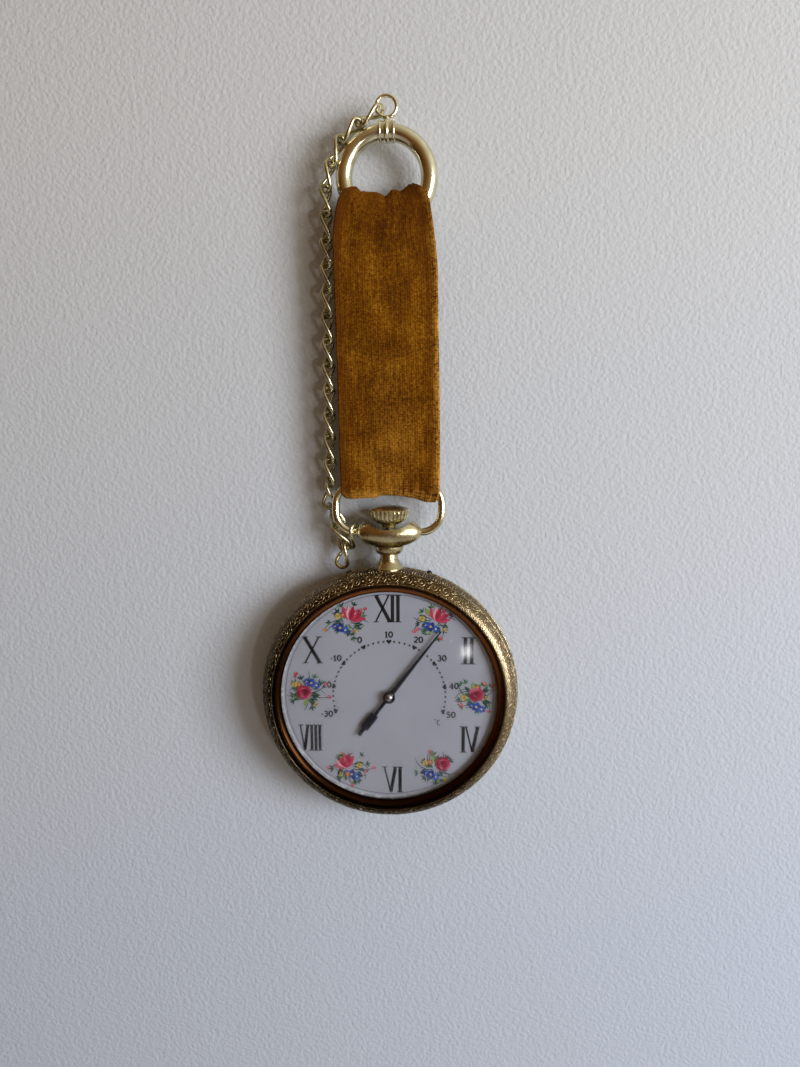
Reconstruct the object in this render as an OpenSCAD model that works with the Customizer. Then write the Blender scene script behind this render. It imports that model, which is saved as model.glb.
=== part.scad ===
// Pocket watch thermometer: a round wall thermometer in the shape of a large pocket watch.
// A bolt ring with a hanging eye holds a folded velvet strap, and the strap carries the bow of the case.
// Millimetres, +Z up, the dial faces -Y, and the origin is the centre of the hanging eye.

/* [Hanging eye and collar] */
// Hole of the hanging eye
eye_bore = 5.8; // [5.2:0.1:6.4]
// Wire of the hanging eye
eye_wire = 1.4; // [1.2:0.1:1.6]
// Diameter of the collar's middle rib
collar_d = 8; // [7.6:0.1:9]
// Width of the collar along the ring
collar_w = 6.3; // [5.8:0.1:7.5]

/* [Bolt ring] */
// Radius of the ring to the middle of its tube
ring_r = 15.3; // [14.8:0.1:16.5]
// Outer diameter of the ring's tube
tube_d = 6; // [5.7:0.1:6.3]
// Wall of the ring's tube
tube_wall = 0.6; // [0.5:0.05:0.75]
// Opening of the ring that the bolt closes, in degrees
ring_gap = 37.5; // [34:0.5:40]
// Thickness of the thumb lug on the bolt
lug_d = 1.6; // [1.4:0.1:1.8]

/* [Velvet strap] */
// Width of the strap
strap_w = 37.6; // [36.8:0.2:38.4]
// Thickness of the velvet
strap_t = 1.4; // [1:0.1:1.6]
// Height from the middle of the ring's lower tube to the middle of the bow's bar
strap_drop = 95; // [92:0.5:98]

/* [Chain] */
// Wire of the chain
link_wire = 1.5; // [1.4:0.05:1.55]
// Length of a link over all
link_len = 12.2; // [12.15:0.05:12.3]
// Width of a link over all
link_w = 6.5; // [6.4:0.05:6.6]

/* [Bow] */
// Wire of the bow
bow_wire = 3; // [2.6:0.1:3.2]
// Width of the bow between the middles of its sides
bow_w = 40.3; // [39.8:0.1:41]
// Height of the bow from its pivot to the middle of its bar
bow_h = 18; // [17.6:0.1:18.6]
// Bending radius of the bow's upper corners
bow_top_r = 7.2; // [7:0.1:7.6]
// Bending radius of the bow's lower corners
bow_end_r = 7.8; // [7.4:0.1:8]

/* [Pendant and crown] */
// Distance from each end of the pendant head to the middle of the bow's side
bow_arm = 7.65; // [7.5:0.05:7.9]
// Height of the pendant head before the saddle is cut
head_h = 12; // [11.4:0.1:12.4]
// Radius of the saddle under the crown
saddle_r = 17; // [15:0.5:20]
// Depth of the saddle below the top of the head
saddle_cut = 4.5; // [4:0.1:4.8]
// Diameter of the cup under the head
cup_d = 11.3; // [10.6:0.1:12]
// Height of the cup
cup_h = 3.1; // [2.6:0.1:3.4]
// Diameter of the neck
neck_d = 6.8; // [6.2:0.1:7.4]
// Height of the neck
neck_h = 2.7; // [2.3:0.1:3.2]
// Diameter of the flared foot
foot_d = 11.3; // [10.6:0.1:12]
// Height of the foot above the rim of the case
foot_h = 2.5; // [2.2:0.1:3]
// Diameter of the stud that holds the pendant
stud_d = 3.4; // [3:0.1:3.6]
// Diameter of the crown
crown_d = 15.5; // [14.6:0.1:16]
// Height of the crown
crown_h = 8.3; // [7.8:0.1:8.6]
// Number of flutes round the crown
crown_flutes = 28; // [24:1:32]
// Diameter of the crown's stem
crown_stem_d = 2.4; // [2:0.1:2.6]

/* [Case] */
// Diameter of the case
case_d = 100; // [98:0.5:106]
// Height of the bezel's crest before the middle of the rim
crest_h = 9.6; // [9.4:0.1:10.4]
// Width of the engraved round of the bezel, seen from the front
crest_w = 5.2; // [4.8:0.1:5.6]
// Depth of the bezel's skirt behind the middle of the rim
skirt_h = 6.2; // [5.6:0.1:6.8]
// Wall of the bezel at the rim
bezel_wall = 3; // [2.6:0.1:3.4]
// Width of the polished cove
cove_w = 2.2; // [1.8:0.1:2.6]
// Wall of the case band
band_wall = 1.65; // [1.4:0.05:2]
// Thickness of the rear cover
cover_t = 1.2; // [1:0.1:1.6]
// Head of a rim screw
rim_head_d = 2.4; // [2.2:0.1:2.8]
// Thread of a rim screw
rim_screw_d = 1.6; // [1.4:0.1:1.8]
// Angle of the rim screws from the vertical
rim_screw_angle = 18; // [15:1:25]

/* [Dial and glass] */
// Height of the dial's face before the middle of the rim
dial_h = 5.4; // [5:0.1:5.6]
// Thickness of the dial plate
dial_t = 1; // [0.8:0.1:1.2]
// Thickness of the gasket between the dial and the glass
gasket_t = 0.4; // [0.3:0.05:0.5]
// Thickness of the glass
glass_t = 1.2; // [1:0.1:1.4]
// Rise of the domed glass above its edge
glass_rise = 5.4; // [5:0.1:6.5]

/* [Pointer and movement] */
// Length of the pointer from its axis to its tip
pointer_l = 33.3; // [30:0.1:35]
// Length of the pointer's tail
tail_l = 19.7; // [18:0.1:22]
// Temperature that the pointer shows, in degrees
shown_temp = 24; // [-30:1:50]
// Diameter of the pointer's arbor
arbor_d = 1.6; // [1.4:0.05:1.8]
// Diameter of the pointer's black collet
collet_d = 4.7; // [4.2:0.1:5]
// Height of the bimetal strip
coil_h = 4.4; // [4:0.1:4.8]
// Thickness of the bimetal strip
coil_t = 0.45; // [0.4:0.05:0.55]
// Turns of the bimetal coil
coil_turns = 5.5; // [4.5:0.5:6]
// Pitch of the bimetal coil
coil_pitch = 1.9; // [1.7:0.05:1.95]
// Distance of the movement's pillars from the axis
pillar_r = 19.5; // [18.5:0.1:22]

/* [Hidden] */

$fn = 48;
// Radial gap of a turning or sliding fit
fit = 0.05;
// Gap between seated pieces that don't touch
seat = 0.1;
// Gap between cloth and metal
cloth_gap = 0.35;
// Overlap that lets a cut pass right through a face
over = 1;

// Heights down the object, each from the piece above it
collar_z = -(eye_bore / 2 + eye_wire + collar_d / 2 + seat);
ring_z = collar_z - ring_r;
ring_low_z = ring_z - ring_r;
bar_z = ring_low_z - strap_drop;
bow_z = bar_z - bow_h;
// Sink of the cup into the head
cup_sink = 0.7;
cup_z = bow_z - head_h / 2 + cup_sink;
neck_z = cup_z - cup_h;
foot_z = neck_z - neck_h;
case_top_z = foot_z - foot_h;
case_r = case_d / 2;
case_z = case_top_z - case_r;

// Bolt ring
bore_r = tube_d / 2 - tube_wall;
bolt_d = 2 * bore_r - 0.2;
mouth_a = 197.5;
mouth_b = mouth_a + ring_gap;
bolt_nose = mouth_b + 3.5;
bolt_tail = 140;
lug_a = mouth_b - 5;
spring_stop_a = 62;
spring_stop_w = 3;
spring_wire = 0.5;
spring_turns = 9;
lug_reach = 1.4;
lug_sink = 1.6;

// Strap: the middle of the velvet passes round the tube and the bar at these radii
wrap_r = tube_d / 2 + cloth_gap + strap_t / 2;
fold_r = bow_wire / 2 + cloth_gap + strap_t / 2;
// Half of the angle of the ring that the gathered strap takes up
gather_a = 70;
// Rise of the bunched velvet over the lowest point of the ring
bunch = 3;
// Half width that the strap loses at the bow's corners
strap_tuck = 1.2;
// Depth of the gathers below the ring
gather_depth = 0.55;
// Half width that the strap loses just below the ring, and the length over which it comes back
strap_draw = 1.6;
draw_l = 38;
// Length over which the strap widens from the ring's gathers
flare_l = 4;

// Bow: a bar between two upper corners, and two lower corners that turn into the pendant
bow_top_x = bow_w / 2 - bow_top_r;
bow_end_x = bow_w / 2 - bow_end_r;
corner_z = bar_z - bow_top_r;
// Length of each bow end inside the pendant head
bow_pin = 3;

// Pendant
head_l = bow_w - 2 * bow_arm;
saddle_z = bow_z + head_h / 2 - saddle_cut;
nut_af = 6;
nut_h = 2.2;
stud_top_z = neck_z + 3.4;
crown_z = saddle_z + 0.5;
crown_stem_low = saddle_z - 5;
crown_bore_h = 3.4;

// Case, with h the distance before the middle of the rim
crest_r = case_r - crest_w;
bead_w = 0.8;
open_r = crest_r - bead_w - cove_w;
lip_h = dial_h + gasket_t + glass_t;
lip_t = 0.7;
glass_r = open_r + 1.6;
skirt_a = asin(skirt_h / crest_h);
skirt_r = crest_r + crest_w * cos(skirt_a);
band_r = case_r - bezel_wall - fit;
band_in = band_r - band_wall;
flange_h = 1.8;
band_back = skirt_h + flange_h;
ledge_w = 4.3;
ledge_t = 1;
cover_lip_h = 2;
cover_lip_t = 1.4;
cover_edge = 0.7;
dial_r = band_in - seat;
spot_r = case_r - 0.15;
rim_head_h = 1.25;
slot_w = 0.4;

// Glass
glass_in_h = dial_h + gasket_t;
dome_r = (open_r * open_r + glass_rise * glass_rise) / (2 * glass_rise);

// Movement behind the dial
ledge_back = dial_h - dial_t - ledge_t;
frame_t = 1.5;
frame_w = 12;
frame_back = ledge_back - frame_t;
frame_screw_r = band_in - ledge_w / 2;
boss_d = 8;
arm_t = 1;
coil_front = frame_back - arm_t - 0.3;
coil_back = coil_front - coil_h;
collet_in_d = 4.4;
coil_r0 = collet_in_d / 2 + coil_t / 2 + fit;
coil_r1 = coil_r0 + coil_turns * coil_pitch;
post_d = 1.8;
post_r = coil_r1;
bridge_back_gap = 0.9;
bridge_front = coil_back - bridge_back_gap;
bridge_t = 1.2;
bridge_w = 8;
pillar_d = 4;
bush_d = 4;
screw_d = 1.6;
screw_head_d = 3;
screw_head_h = 1;
pointer_h = dial_h + 1.2;
pointer_t = 0.4;
seat_d = 1.2;
collet_t = 0.8;
cap_d = 3.1;
cap_h = 1;
arbor_back = bridge_front - bridge_t - 0.8;
arbor_top = pointer_h + pointer_t + collet_t + 0.4;
// The scale has 10 degrees at the top and turns this far for each degree
scale_top = 10;
deg_per_temp = 80 / 30;
pointer_a = (shown_temp - scale_top) * deg_per_temp;

gold = "#c9c08f";
bronze = "#7d6f52";
velvet = "#a8722a";
steel = "#b9bcc0";

// Places the case pieces: z of the child becomes the distance before the rim's middle
module at_case() {
    translate([0, 0, case_z]) rotate([90, 0, 0]) children();
}

// Places the pieces of the ring: angles count from +X towards +Z
module at_ring() {
    translate([0, 0, ring_z]) rotate([90, 0, 0]) children();
}

module ring_segment(from, to, r) {
    rotate([0, 0, from]) rotate_extrude(angle = to - from, $fn = 96) translate([ring_r, 0]) circle(r);
}

module tube(d_out, d_in, h) {
    difference() {
        cylinder(d = d_out, h = h);
        translate([0, 0, -over]) cylinder(d = d_in, h = h + 2 * over);
    }
}

// A cheese-head screw with its head's seat at z = 0 and its shank pointing down
module small_screw(shank_d, shank_l, head_d, head_h) {
    difference() {
        union() {
            translate([0, 0, -shank_l]) cylinder(d = shank_d, h = shank_l);
            cylinder(d = head_d, h = head_h);
        }
        translate([-head_d, -slot_w / 2, head_h / 2]) cube([2 * head_d, slot_w, head_h]);
    }
}

function unit(v) = v / norm(v);

// Faces of a tube swept through rows of points, closed to a loop or capped
function sweep_faces(rows, sides, loop) = concat(
    [for (j = [0 : rows - (loop ? 1 : 2)], i = [0 : sides - 1])
        let (a = j * sides + i, b = j * sides + (i + 1) % sides, k = (j + 1) % rows)
        [a, b, k * sides + i]],
    [for (j = [0 : rows - (loop ? 1 : 2)], i = [0 : sides - 1])
        let (b = j * sides + (i + 1) % sides, k = (j + 1) % rows)
        [b, k * sides + (i + 1) % sides, k * sides + i]],
    loop ? [] : [for (i = [1 : sides - 2]) [0, i + 1, i]],
    loop ? [] : [for (i = [1 : sides - 2]) let (s = (rows - 1) * sides) [s, s + i, s + i + 1]]);

// Chain links: a long loop of wire, twisted by this angle from end to end
link_turn = -125;
link_rows = 24;
link_sides = 6;
link_end_r = (link_w - link_wire) / 2;
link_side_l = link_len - link_wire - 2 * link_end_r;
// A six-sided wire of this radius has the section of the round one
link_wire_r = link_wire / 2 * 1.03;

// Point k of the flat loop: half of the rows on each side, most of them round the ends
function loop_point(k) = let (
    half = link_rows / 2,
    side = k < half ? 1 : -1,
    j = k % half,
    a = j * 180 / (half - 3),
    on_end = j <= half - 3,
    s = (j - (half - 3)) / 3)
    on_end
        ? [side * link_end_r * cos(a), side * (link_side_l / 2 + link_end_r * sin(a))]
        : [-side * link_end_r, side * link_side_l * (0.5 - s)];

function twisted(p, turn) = let (a = turn * p[1] / (link_len - link_wire)) [p[0] * cos(a), p[0] * sin(a), p[1]];

function link_ring(k, turn) = let (
    p = loop_point(k),
    c = twisted(p, turn),
    ahead = twisted(loop_point((k + 1) % link_rows), turn),
    behind = twisted(loop_point((k + link_rows - 1) % link_rows), turn),
    t = unit(ahead - behind),
    a = turn * p[1] / (link_len - link_wire),
    b = unit(cross(t, [-sin(a), cos(a), 0])),
    m = cross(b, t))
    [for (i = [0 : link_sides - 1]) let (w = i * 360 / link_sides) c + link_wire_r * (cos(w) * m + sin(w) * b)];

// One link, centred on place, its top tipped towards +X and +Y by two angles and rolled about its length
module link(place, tip_x, tip_y, roll) {
    a = unit([tan(tip_x), tan(tip_y), 1]);
    y = unit([0, 1, 0] - a * a[1]);
    x = cross(y, a);
    u = cos(roll) * x + sin(roll) * y;
    v = cos(roll) * y - sin(roll) * x;
    rings = [for (k = [0 : link_rows - 1]) each link_ring(k, link_turn)];
    polyhedron([for (p = rings) place + p[0] * u + p[1] * v + p[2] * a],
        sweep_faces(link_rows, link_sides, true));
}

// Places where one link hooks the next, from the eye round the left of the ring
hooks_ring = [[-1.85, -0.05, -0.7], [-10.2, -0.95, -5.9], [-16.1, -0.35, -10.8], [-20.15, -0.6, -19.25],
    [-(strap_w / 2 + 3.3), 0, -27.2]];
hooks_last = len(hooks_ring) - 1;
// Rolls of the links round the ring, and of all that hang straight
ring_rolls = [-79, -83, -84, -80, -88];
chain_roll = -90;
// The straight run has as many links as it takes to hang down to the bow's bar
run_l = hooks_ring[hooks_last][2] - bar_z;
run_slack = 0.15;
links_straight = ceil(run_l / (link_len - 2 * link_wire - run_slack) - 0.01);
// Lean of the straight run over its length
lean = [-0.3, 2.2, -run_l];
function hook(k) = k <= hooks_last
    ? hooks_ring[k]
    : hooks_ring[hooks_last] + lean * (k - hooks_last) / links_straight;

// Links at the bow: place from the middle of the bow's left side at the pivot's height, two tips and roll
links_bow = [
    [[-2.98, 3.52, 13.7], 2.8, -15.8, -57.8],
    [[-0.81, 3.89, 5.62], -26.3, 19.4, -35.8],
    [[1.32, 1.44, -2.05], -25.8, -1.7, -68.7],
    [[2.55, 2.51, -9.08], 15.1, -1.8, -61.6],
    [[5.43, 1.07, -1.91], 17.8, -25.2, -58.8]];

module links_between(first, last) {
    for (k = [first : last]) {
        run = hook(k) - hook(k + 1);
        roll = k <= hooks_last ? ring_rolls[k] : chain_roll;
        link((hook(k) + hook(k + 1)) / 2, atan(run[0] / run[2]), atan(run[1] / run[2]), roll);
    }
}

module hanging_eye() {
    eye_r = (eye_bore + eye_wire) / 2;
    color(gold) difference() {
        union() {
            rotate([90, 0, 0]) rotate_extrude() translate([eye_r, 0]) circle(d = eye_wire);
            translate([0, 0, collar_z]) cylinder(d = 2.2, h = -collar_z - eye_r);
        }
        translate([-collar_w, 0, collar_z]) rotate([0, 90, 0]) cylinder(d = collar_d, h = 2 * collar_w);
    }
}

module ring_collar() {
    rib_d = 2.2;
    side_rib_d = 1.4;
    core_d = collar_d - 0.9;
    color(gold) difference() {
        translate([0, 0, collar_z]) rotate([0, 90, 0]) rotate_extrude() union() {
            translate([0, -collar_w / 2]) square([core_d / 2, collar_w]);
            translate([(collar_d - rib_d) / 2, 0]) circle(d = rib_d);
            for (side = [-1, 1])
                translate([(collar_d - side_rib_d) / 2 - 0.15, side * (collar_w / 2 - side_rib_d / 2)])
                    circle(d = side_rib_d);
        }
        at_ring() ring_segment(45, 135, tube_d / 2 + fit);
    }
}

module ring_tube() {
    color(gold) at_ring() {
        difference() {
            ring_segment(mouth_b, mouth_a + 360, tube_d / 2);
            ring_segment(mouth_b - over, mouth_a + 360 + over, bore_r);
        }
        ring_segment(spring_stop_a - spring_stop_w, spring_stop_a, bore_r + tube_wall / 2);
    }
}

// Point of the bolt spring's wire at a share s of its length
function spring_point(s, grow) = let (
    from = spring_stop_a + 1.2,
    to = bolt_tail - 1.2,
    g = from + (to - from) * s,
    w = 360 * spring_turns * s,
    r = bore_r - 0.2 - spring_wire / 2 + grow)
    [(ring_r + r * cos(w)) * cos(g), (ring_r + r * cos(w)) * sin(g), r * sin(w)];

function spring_ring(j, rows) = let (
    s = j / (rows - 1),
    c = spring_point(s, 0),
    t = unit(spring_point(s + 0.001, 0) - spring_point(s - 0.001, 0)),
    m0 = spring_point(s, 1) - c,
    b = unit(cross(t, m0)),
    m = cross(b, t))
    [for (i = [0 : 5]) c + spring_wire / 2 * (cos(60 * i) * m + sin(60 * i) * b)];

module bolt_spring() {
    rows = 8 * spring_turns + 1;
    color(steel) at_ring()
        polyhedron([for (j = [0 : rows - 1]) each spring_ring(j, rows)], sweep_faces(rows, 6, false));
}

module ring_bolt() {
    color(gold) at_ring() difference() {
        ring_segment(bolt_tail, bolt_nose, bolt_d / 2);
        lug_place() translate([0, 0, -over]) cylinder(d = lug_d + 2 * fit, h = 2 * lug_sink + over);
    }
}

// The lug stands outwards from the bottom of its hole in the bolt
module lug_place() {
    rotate([0, 0, lug_a]) translate([ring_r + bolt_d / 2 - lug_sink, 0, 0]) rotate([0, 90, 0]) children();
}

module bolt_lug() {
    color(gold) at_ring() difference() {
        lug_place() cylinder(d = lug_d, h = lug_sink + (tube_d - bolt_d) / 2 + lug_reach);
        ring_segment(bolt_tail, lug_a - 8, bolt_d / 2 + fit);
    }
}

module chain_top() {
    color(gold) links_between(0, hooks_last);
}

module chain_side() {
    color(gold) links_between(hooks_last + 1, hooks_last + links_straight - 1);
}

module chain_end() {
    color(gold) for (l = links_bow) link([-bow_w / 2, 0, bow_z] + l[0], l[1], l[2], l[3]);
}

// Middle of the bow's wire under a place x across the bar
function wire_z(x) = corner_z + sqrt(bow_top_r * bow_top_r - pow(max(0, abs(x) - bow_top_x), 2));

// How much a wire that slopes at x is taller than a level one
function wire_slope(x) = bow_top_r / (wire_z(x) - corner_z);

// Strap: rows go up the front, over the ring, down the back and under the bar, columns go across
strap_up = 9;
strap_over = 9;
strap_under = 7;
strap_cols = 12;
strap_rows = 2 * strap_up + strap_over + strap_under;

// Place and normal of the velvet's middle where it wraps the ring, at the angle th round the tube
function over_ring(v, th) = let (
    g = gather_a * v,
    lift = bunch * (1 - v * v) * pow(max(0, -cos(th)), 1.5),
    r = ring_r + wrap_r * cos(th))
    [[r * sin(g), wrap_r * sin(th), ring_z - r * cos(g) + lift],
     [cos(th) * sin(g), sin(th), -cos(th) * cos(g)]];

// The same where it wraps the bar, from the back at a = 0 to the front at a = 180
function under_bar(v, a) = let (x = v * (strap_w / 2 - strap_tuck))
    [[x, fold_r * cos(a), wire_z(x) - fold_r * wire_slope(x) * sin(a)], unit([0, cos(a), -sin(a) * 1.001])];

// The same on a flat layer, at a share s of the way from the bar to the ring, side -1 in front
function on_layer(v, s, side) = let (
    low = under_bar(v, side < 0 ? 180 : 0)[0],
    high = over_ring(v, side < 0 ? -90 : 90)[0],
    z = low[2] + (high[2] - low[2]) * s,
    below = high[2] - z,
    drawn = strap_draw * pow(max(0, 1 - below / draw_l), 1.5),
    spread = v * (strap_w / 2 - strap_tuck * (1 - min(1, 8 * s)) - drawn),
    near = pow(max(0, 1 - below / flare_l), 2),
    x = spread * (1 - near) + high[0] * near,
    gather = gather_depth * (1 - cos(540 * v)) / 2 * pow(s, 3) * (1 - pow(s, 12)))
    [[x, low[1] + (high[1] - low[1]) * s + side * gather, z], [0, side, 0]];

function strap_row(j, v) =
    j < strap_up ? on_layer(v, pow(j / strap_up, 0.75), -1)
    : j < strap_up + strap_over ? over_ring(v, -90 - 180 * (j - strap_up) / (strap_over - 1))
    : j < 2 * strap_up + strap_over
        ? on_layer(v, pow(1 - (j - strap_up - strap_over + 1) / strap_up, 0.75), 1)
    : under_bar(v, 180 * (j - 2 * strap_up - strap_over + 1) / (strap_under + 1));

module velvet_strap() {
    n = strap_cols + 1;
    cells = [for (j = [0 : strap_rows - 1], i = [0 : strap_cols]) strap_row(j, 2 * i / strap_cols - 1)];
    count = len(cells);
    points = concat(
        [for (c = cells) c[0] + c[1] * strap_t / 2],
        [for (c = cells) c[0] - c[1] * strap_t / 2]);
    faces = [for (j = [0 : strap_rows - 1]) let (k = (j + 1) % strap_rows)
        each concat(
            [for (i = [0 : strap_cols - 1]) each [
                [j * n + i, k * n + i, j * n + i + 1],
                [j * n + i + 1, k * n + i, k * n + i + 1],
                [count + j * n + i, count + j * n + i + 1, count + k * n + i],
                [count + j * n + i + 1, count + k * n + i + 1, count + k * n + i]]],
            [[j * n, count + j * n, k * n], [k * n, count + j * n, count + k * n],
             [j * n + n - 1, k * n + n - 1, count + j * n + n - 1],
             [k * n + n - 1, count + k * n + n - 1, count + j * n + n - 1]])];
    color(velvet) polyhedron(points, faces);
}

// An arc of the bow's wire round (x, z), from one angle to another
module wire_arc(x, z, r, from, to) {
    translate([x, 0, z]) rotate([90, 0, 0]) rotate([0, 0, from])
        rotate_extrude(angle = to - from, $fn = 96) translate([r, 0]) circle(d = bow_wire);
}

module bow() {
    end_z = bow_z + bow_end_r;
    color(gold) union() {
        translate([-bow_top_x, 0, bar_z]) rotate([0, 90, 0]) cylinder(d = bow_wire, h = 2 * bow_top_x);
        for (side = [0, 1]) mirror([side, 0, 0]) {
            wire_arc(bow_top_x, corner_z, bow_top_r, 0, 90);
            translate([bow_w / 2, 0, end_z]) cylinder(d = bow_wire, h = corner_z - end_z);
            wire_arc(bow_end_x, end_z, bow_end_r, -90, 0);
            translate([head_l / 2 - bow_pin, 0, bow_z]) rotate([0, 90, 0])
                cylinder(d = bow_wire, h = bow_end_x - head_l / 2 + bow_pin);
        }
    }
}

// Outside of the bezel: an oval round from the skirt over the rim to the crest
function rim_profile() = [for (k = [0 : 14]) let (a = -skirt_a + (90 + skirt_a) * k / 14)
    [crest_r + crest_w * cos(a), crest_h * sin(a)]];

// The polished cove, hollow, from the crest's bead down to the opening
function cove_profile() = [for (t = [90 : -15 : 0])
    [open_r + cove_w * sin(t), lip_h + lip_t + (crest_h - 0.1 - lip_h - lip_t) * (1 - cos(t))]];

// Points a round hole through the rim at an angle from the top
module rim_holes(d, from_r, to_r) {
    for (a = [0, 180], side = [-1, 1]) rotate([0, 0, a + side * rim_screw_angle])
        translate([0, from_r, 0]) rotate([-90, 0, 0]) cylinder(d = d, h = to_r - from_r);
}

module bezel() {
    in_r = case_r - bezel_wall;
    color(bronze) at_case() difference() {
        rotate_extrude($fn = 120) polygon(concat(
            rim_profile(),
            cove_profile(),
            [[open_r, lip_h], [glass_r + seat, lip_h], [glass_r + seat, dial_h + 0.2],
             [in_r, dial_h + 0.2], [in_r, -skirt_h]]));
        rim_holes(rim_screw_d + 4 * fit, in_r - over, case_r + over);
        rim_holes(rim_head_d + 4 * fit, spot_r, case_r + over);
        translate([0, in_r - over, 0]) rotate([-90, 0, 0]) cylinder(d = stud_d + 2 * fit, h = bezel_wall + 2 * over);
    }
}

module crystal() {
    edge_h = glass_in_h + glass_t;
    top = edge_h + glass_rise - dome_r;
    low = top - glass_t;
    color("#dfe8ea", 0.35) at_case() difference() {
        union() {
            translate([0, 0, glass_in_h]) cylinder(r = glass_r, h = glass_t, $fn = 120);
            intersection() {
                translate([0, 0, top]) sphere(dome_r, $fn = 120);
                translate([0, 0, glass_in_h + glass_t / 2]) cylinder(r = open_r - seat, h = 2 * glass_rise, $fn = 120);
            }
        }
        intersection() {
            translate([0, 0, low]) sphere(dome_r, $fn = 120);
            translate([0, 0, glass_in_h - over]) cylinder(r = open_r - glass_t, h = 2 * glass_rise, $fn = 120);
        }
    }
}

module crystal_gasket() {
    color("#c9ccce") at_case() translate([0, 0, dial_h])
        tube(2 * glass_r, 2 * (open_r - 0.5), gasket_t, $fn = 120);
}

module dial_plate() {
    color("#f2f1ee") at_case() translate([0, 0, dial_h - dial_t])
        tube(2 * dial_r, bush_d + 2 * fit, dial_t, $fn = 120);
}

module case_band() {
    ledge_r = band_in - ledge_w;
    color(bronze) at_case() difference() {
        rotate_extrude($fn = 120) polygon([
            [band_in, -band_back], [skirt_r - 0.2, -band_back], [skirt_r - 0.2, -skirt_h], [band_r, -skirt_h],
            [band_r, dial_h], [band_in, dial_h], [band_in, dial_h - dial_t], [ledge_r, dial_h - dial_t],
            [ledge_r, ledge_back], [band_in, ledge_back]]);
        rim_holes(rim_screw_d + 2 * fit, band_in - over, band_r + over);
        translate([0, band_in - over, 0]) rotate([-90, 0, 0]) cylinder(d = stud_d + 2 * fit, h = band_wall + 2 * over);
        for (side = [-1, 1]) translate([side * frame_screw_r, 0, ledge_back - over])
            cylinder(d = screw_d + 2 * fit, h = ledge_t + 2 * over);
    }
}

module rear_cover() {
    r = skirt_r - 0.2;
    lip_r = band_in - seat;
    color(bronze) at_case() rotate_extrude($fn = 120) polygon([
        [0, -band_back - cover_t], [r - cover_edge, -band_back - cover_t],
        [r - 0.3 * cover_edge, -band_back - cover_t + 0.3 * cover_edge],
        [r, -band_back - cover_t + cover_edge], [r, -band_back], [lip_r, -band_back],
        [lip_r, -band_back + cover_lip_h], [lip_r - cover_lip_t, -band_back + cover_lip_h],
        [lip_r - cover_lip_t, -band_back], [0, -band_back]]);
}

module rim_screws() {
    dome = (pow(rim_head_d / 2, 2) + pow(rim_head_h - 0.35, 2)) / (2 * (rim_head_h - 0.35));
    color(steel) at_case() for (a = [0, 180], side = [-1, 1])
        rotate([0, 0, a + side * rim_screw_angle]) translate([0, spot_r, 0]) rotate([-90, 0, 0]) difference() {
            union() {
                translate([0, 0, band_in - spot_r + 0.2]) cylinder(d = rim_screw_d, h = spot_r - band_in - 0.2);
                intersection() {
                    cylinder(d = rim_head_d, h = rim_head_h);
                    translate([0, 0, rim_head_h - dome]) sphere(dome);
                }
            }
            translate([-rim_head_d, -slot_w / 2, rim_head_h - 0.5]) cube([2 * rim_head_d, slot_w, over]);
        }
}

module pendant_foot() {
    drop = 2.2;
    flare = foot_d / 2;
    // Radius of the rim's round under the foot
    sag = crest_w * (1 - sqrt(1 - pow(flare / crest_h, 2)));
    round_r = (flare * flare + sag * sag) / (2 * sag);
    color(gold) difference() {
        translate([0, 0, case_top_z]) rotate_extrude() polygon([
            [0, foot_h], [neck_d / 2 + 0.5, foot_h], [neck_d / 2 + 0.7, foot_h - 0.5],
            [flare - 0.4, 0.3], [flare, -0.2], [flare, -drop], [0, -drop]]);
        translate([0, 0, case_top_z - drop - over]) cylinder(d = stud_d + 2 * fit, h = foot_h + drop + 2 * over);
        at_case() rotate_extrude($fn = 120) translate([case_r + fit - round_r, 0]) circle(round_r, $fn = 96);
    }
}

module pendant_head() {
    half_l = head_l / 2;
    long_r = half_l + 0.2;
    color(gold) difference() {
        union() {
            intersection() {
                translate([0, 0, bow_z]) rotate([0, 90, 0]) rotate_extrude() polygon([for (a = [-90 : 7.5 : 90])
                    [head_h / 2 * cos(a), long_r * sin(a)]]);
                translate([-half_l, -head_h, bow_z - head_h]) cube([head_l, 2 * head_h, 2 * head_h]);
            }
            translate([0, 0, foot_z]) rotate_extrude() polygon(concat(
                [[0, 0], [neck_d / 2 + 0.25, 0], [neck_d / 2 + 0.25, 0.6], [neck_d / 2, 0.8], [neck_d / 2, neck_h]],
                [for (a = [90 : -11.25 : 0])
                    [neck_d / 2 + 0.2 + (cup_d - neck_d - 0.4) / 2 * cos(a), neck_h + cup_h - cup_h * sin(a)]],
                [[0, neck_h + cup_h]]));
        }
        translate([0, 0, saddle_z + saddle_r]) rotate([90, 0, 0])
            cylinder(r = saddle_r, h = 2 * head_h, center = true, $fn = 96);
        translate([0, 0, foot_z - over]) cylinder(d = stud_d + 2 * fit, h = stud_top_z - foot_z + over + seat);
        translate([0, 0, crown_stem_low - seat])
            cylinder(d = crown_stem_d + 2 * fit, h = saddle_z - crown_stem_low + seat + over);
        for (side = [0, 1]) mirror([side, 0, 0]) translate([half_l - bow_pin - 2 * seat, 0, bow_z])
            rotate([0, 90, 0]) cylinder(d = bow_wire + 2 * fit, h = bow_pin + over);
    }
}

module pendant_stud() {
    low = case_z + band_in - nut_h - 1.2;
    color(steel) translate([0, 0, low]) cylinder(d = stud_d, h = stud_top_z - low);
}

module pendant_nut() {
    top = case_z + sqrt(band_in * band_in - nut_af * nut_af / 3) - fit;
    color(steel) translate([0, 0, top - nut_h]) difference() {
        cylinder(r = nut_af / sqrt(3), h = nut_h, $fn = 6);
        translate([0, 0, -over]) cylinder(d = stud_d + 2 * fit, h = nut_h + 2 * over);
    }
}

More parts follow.
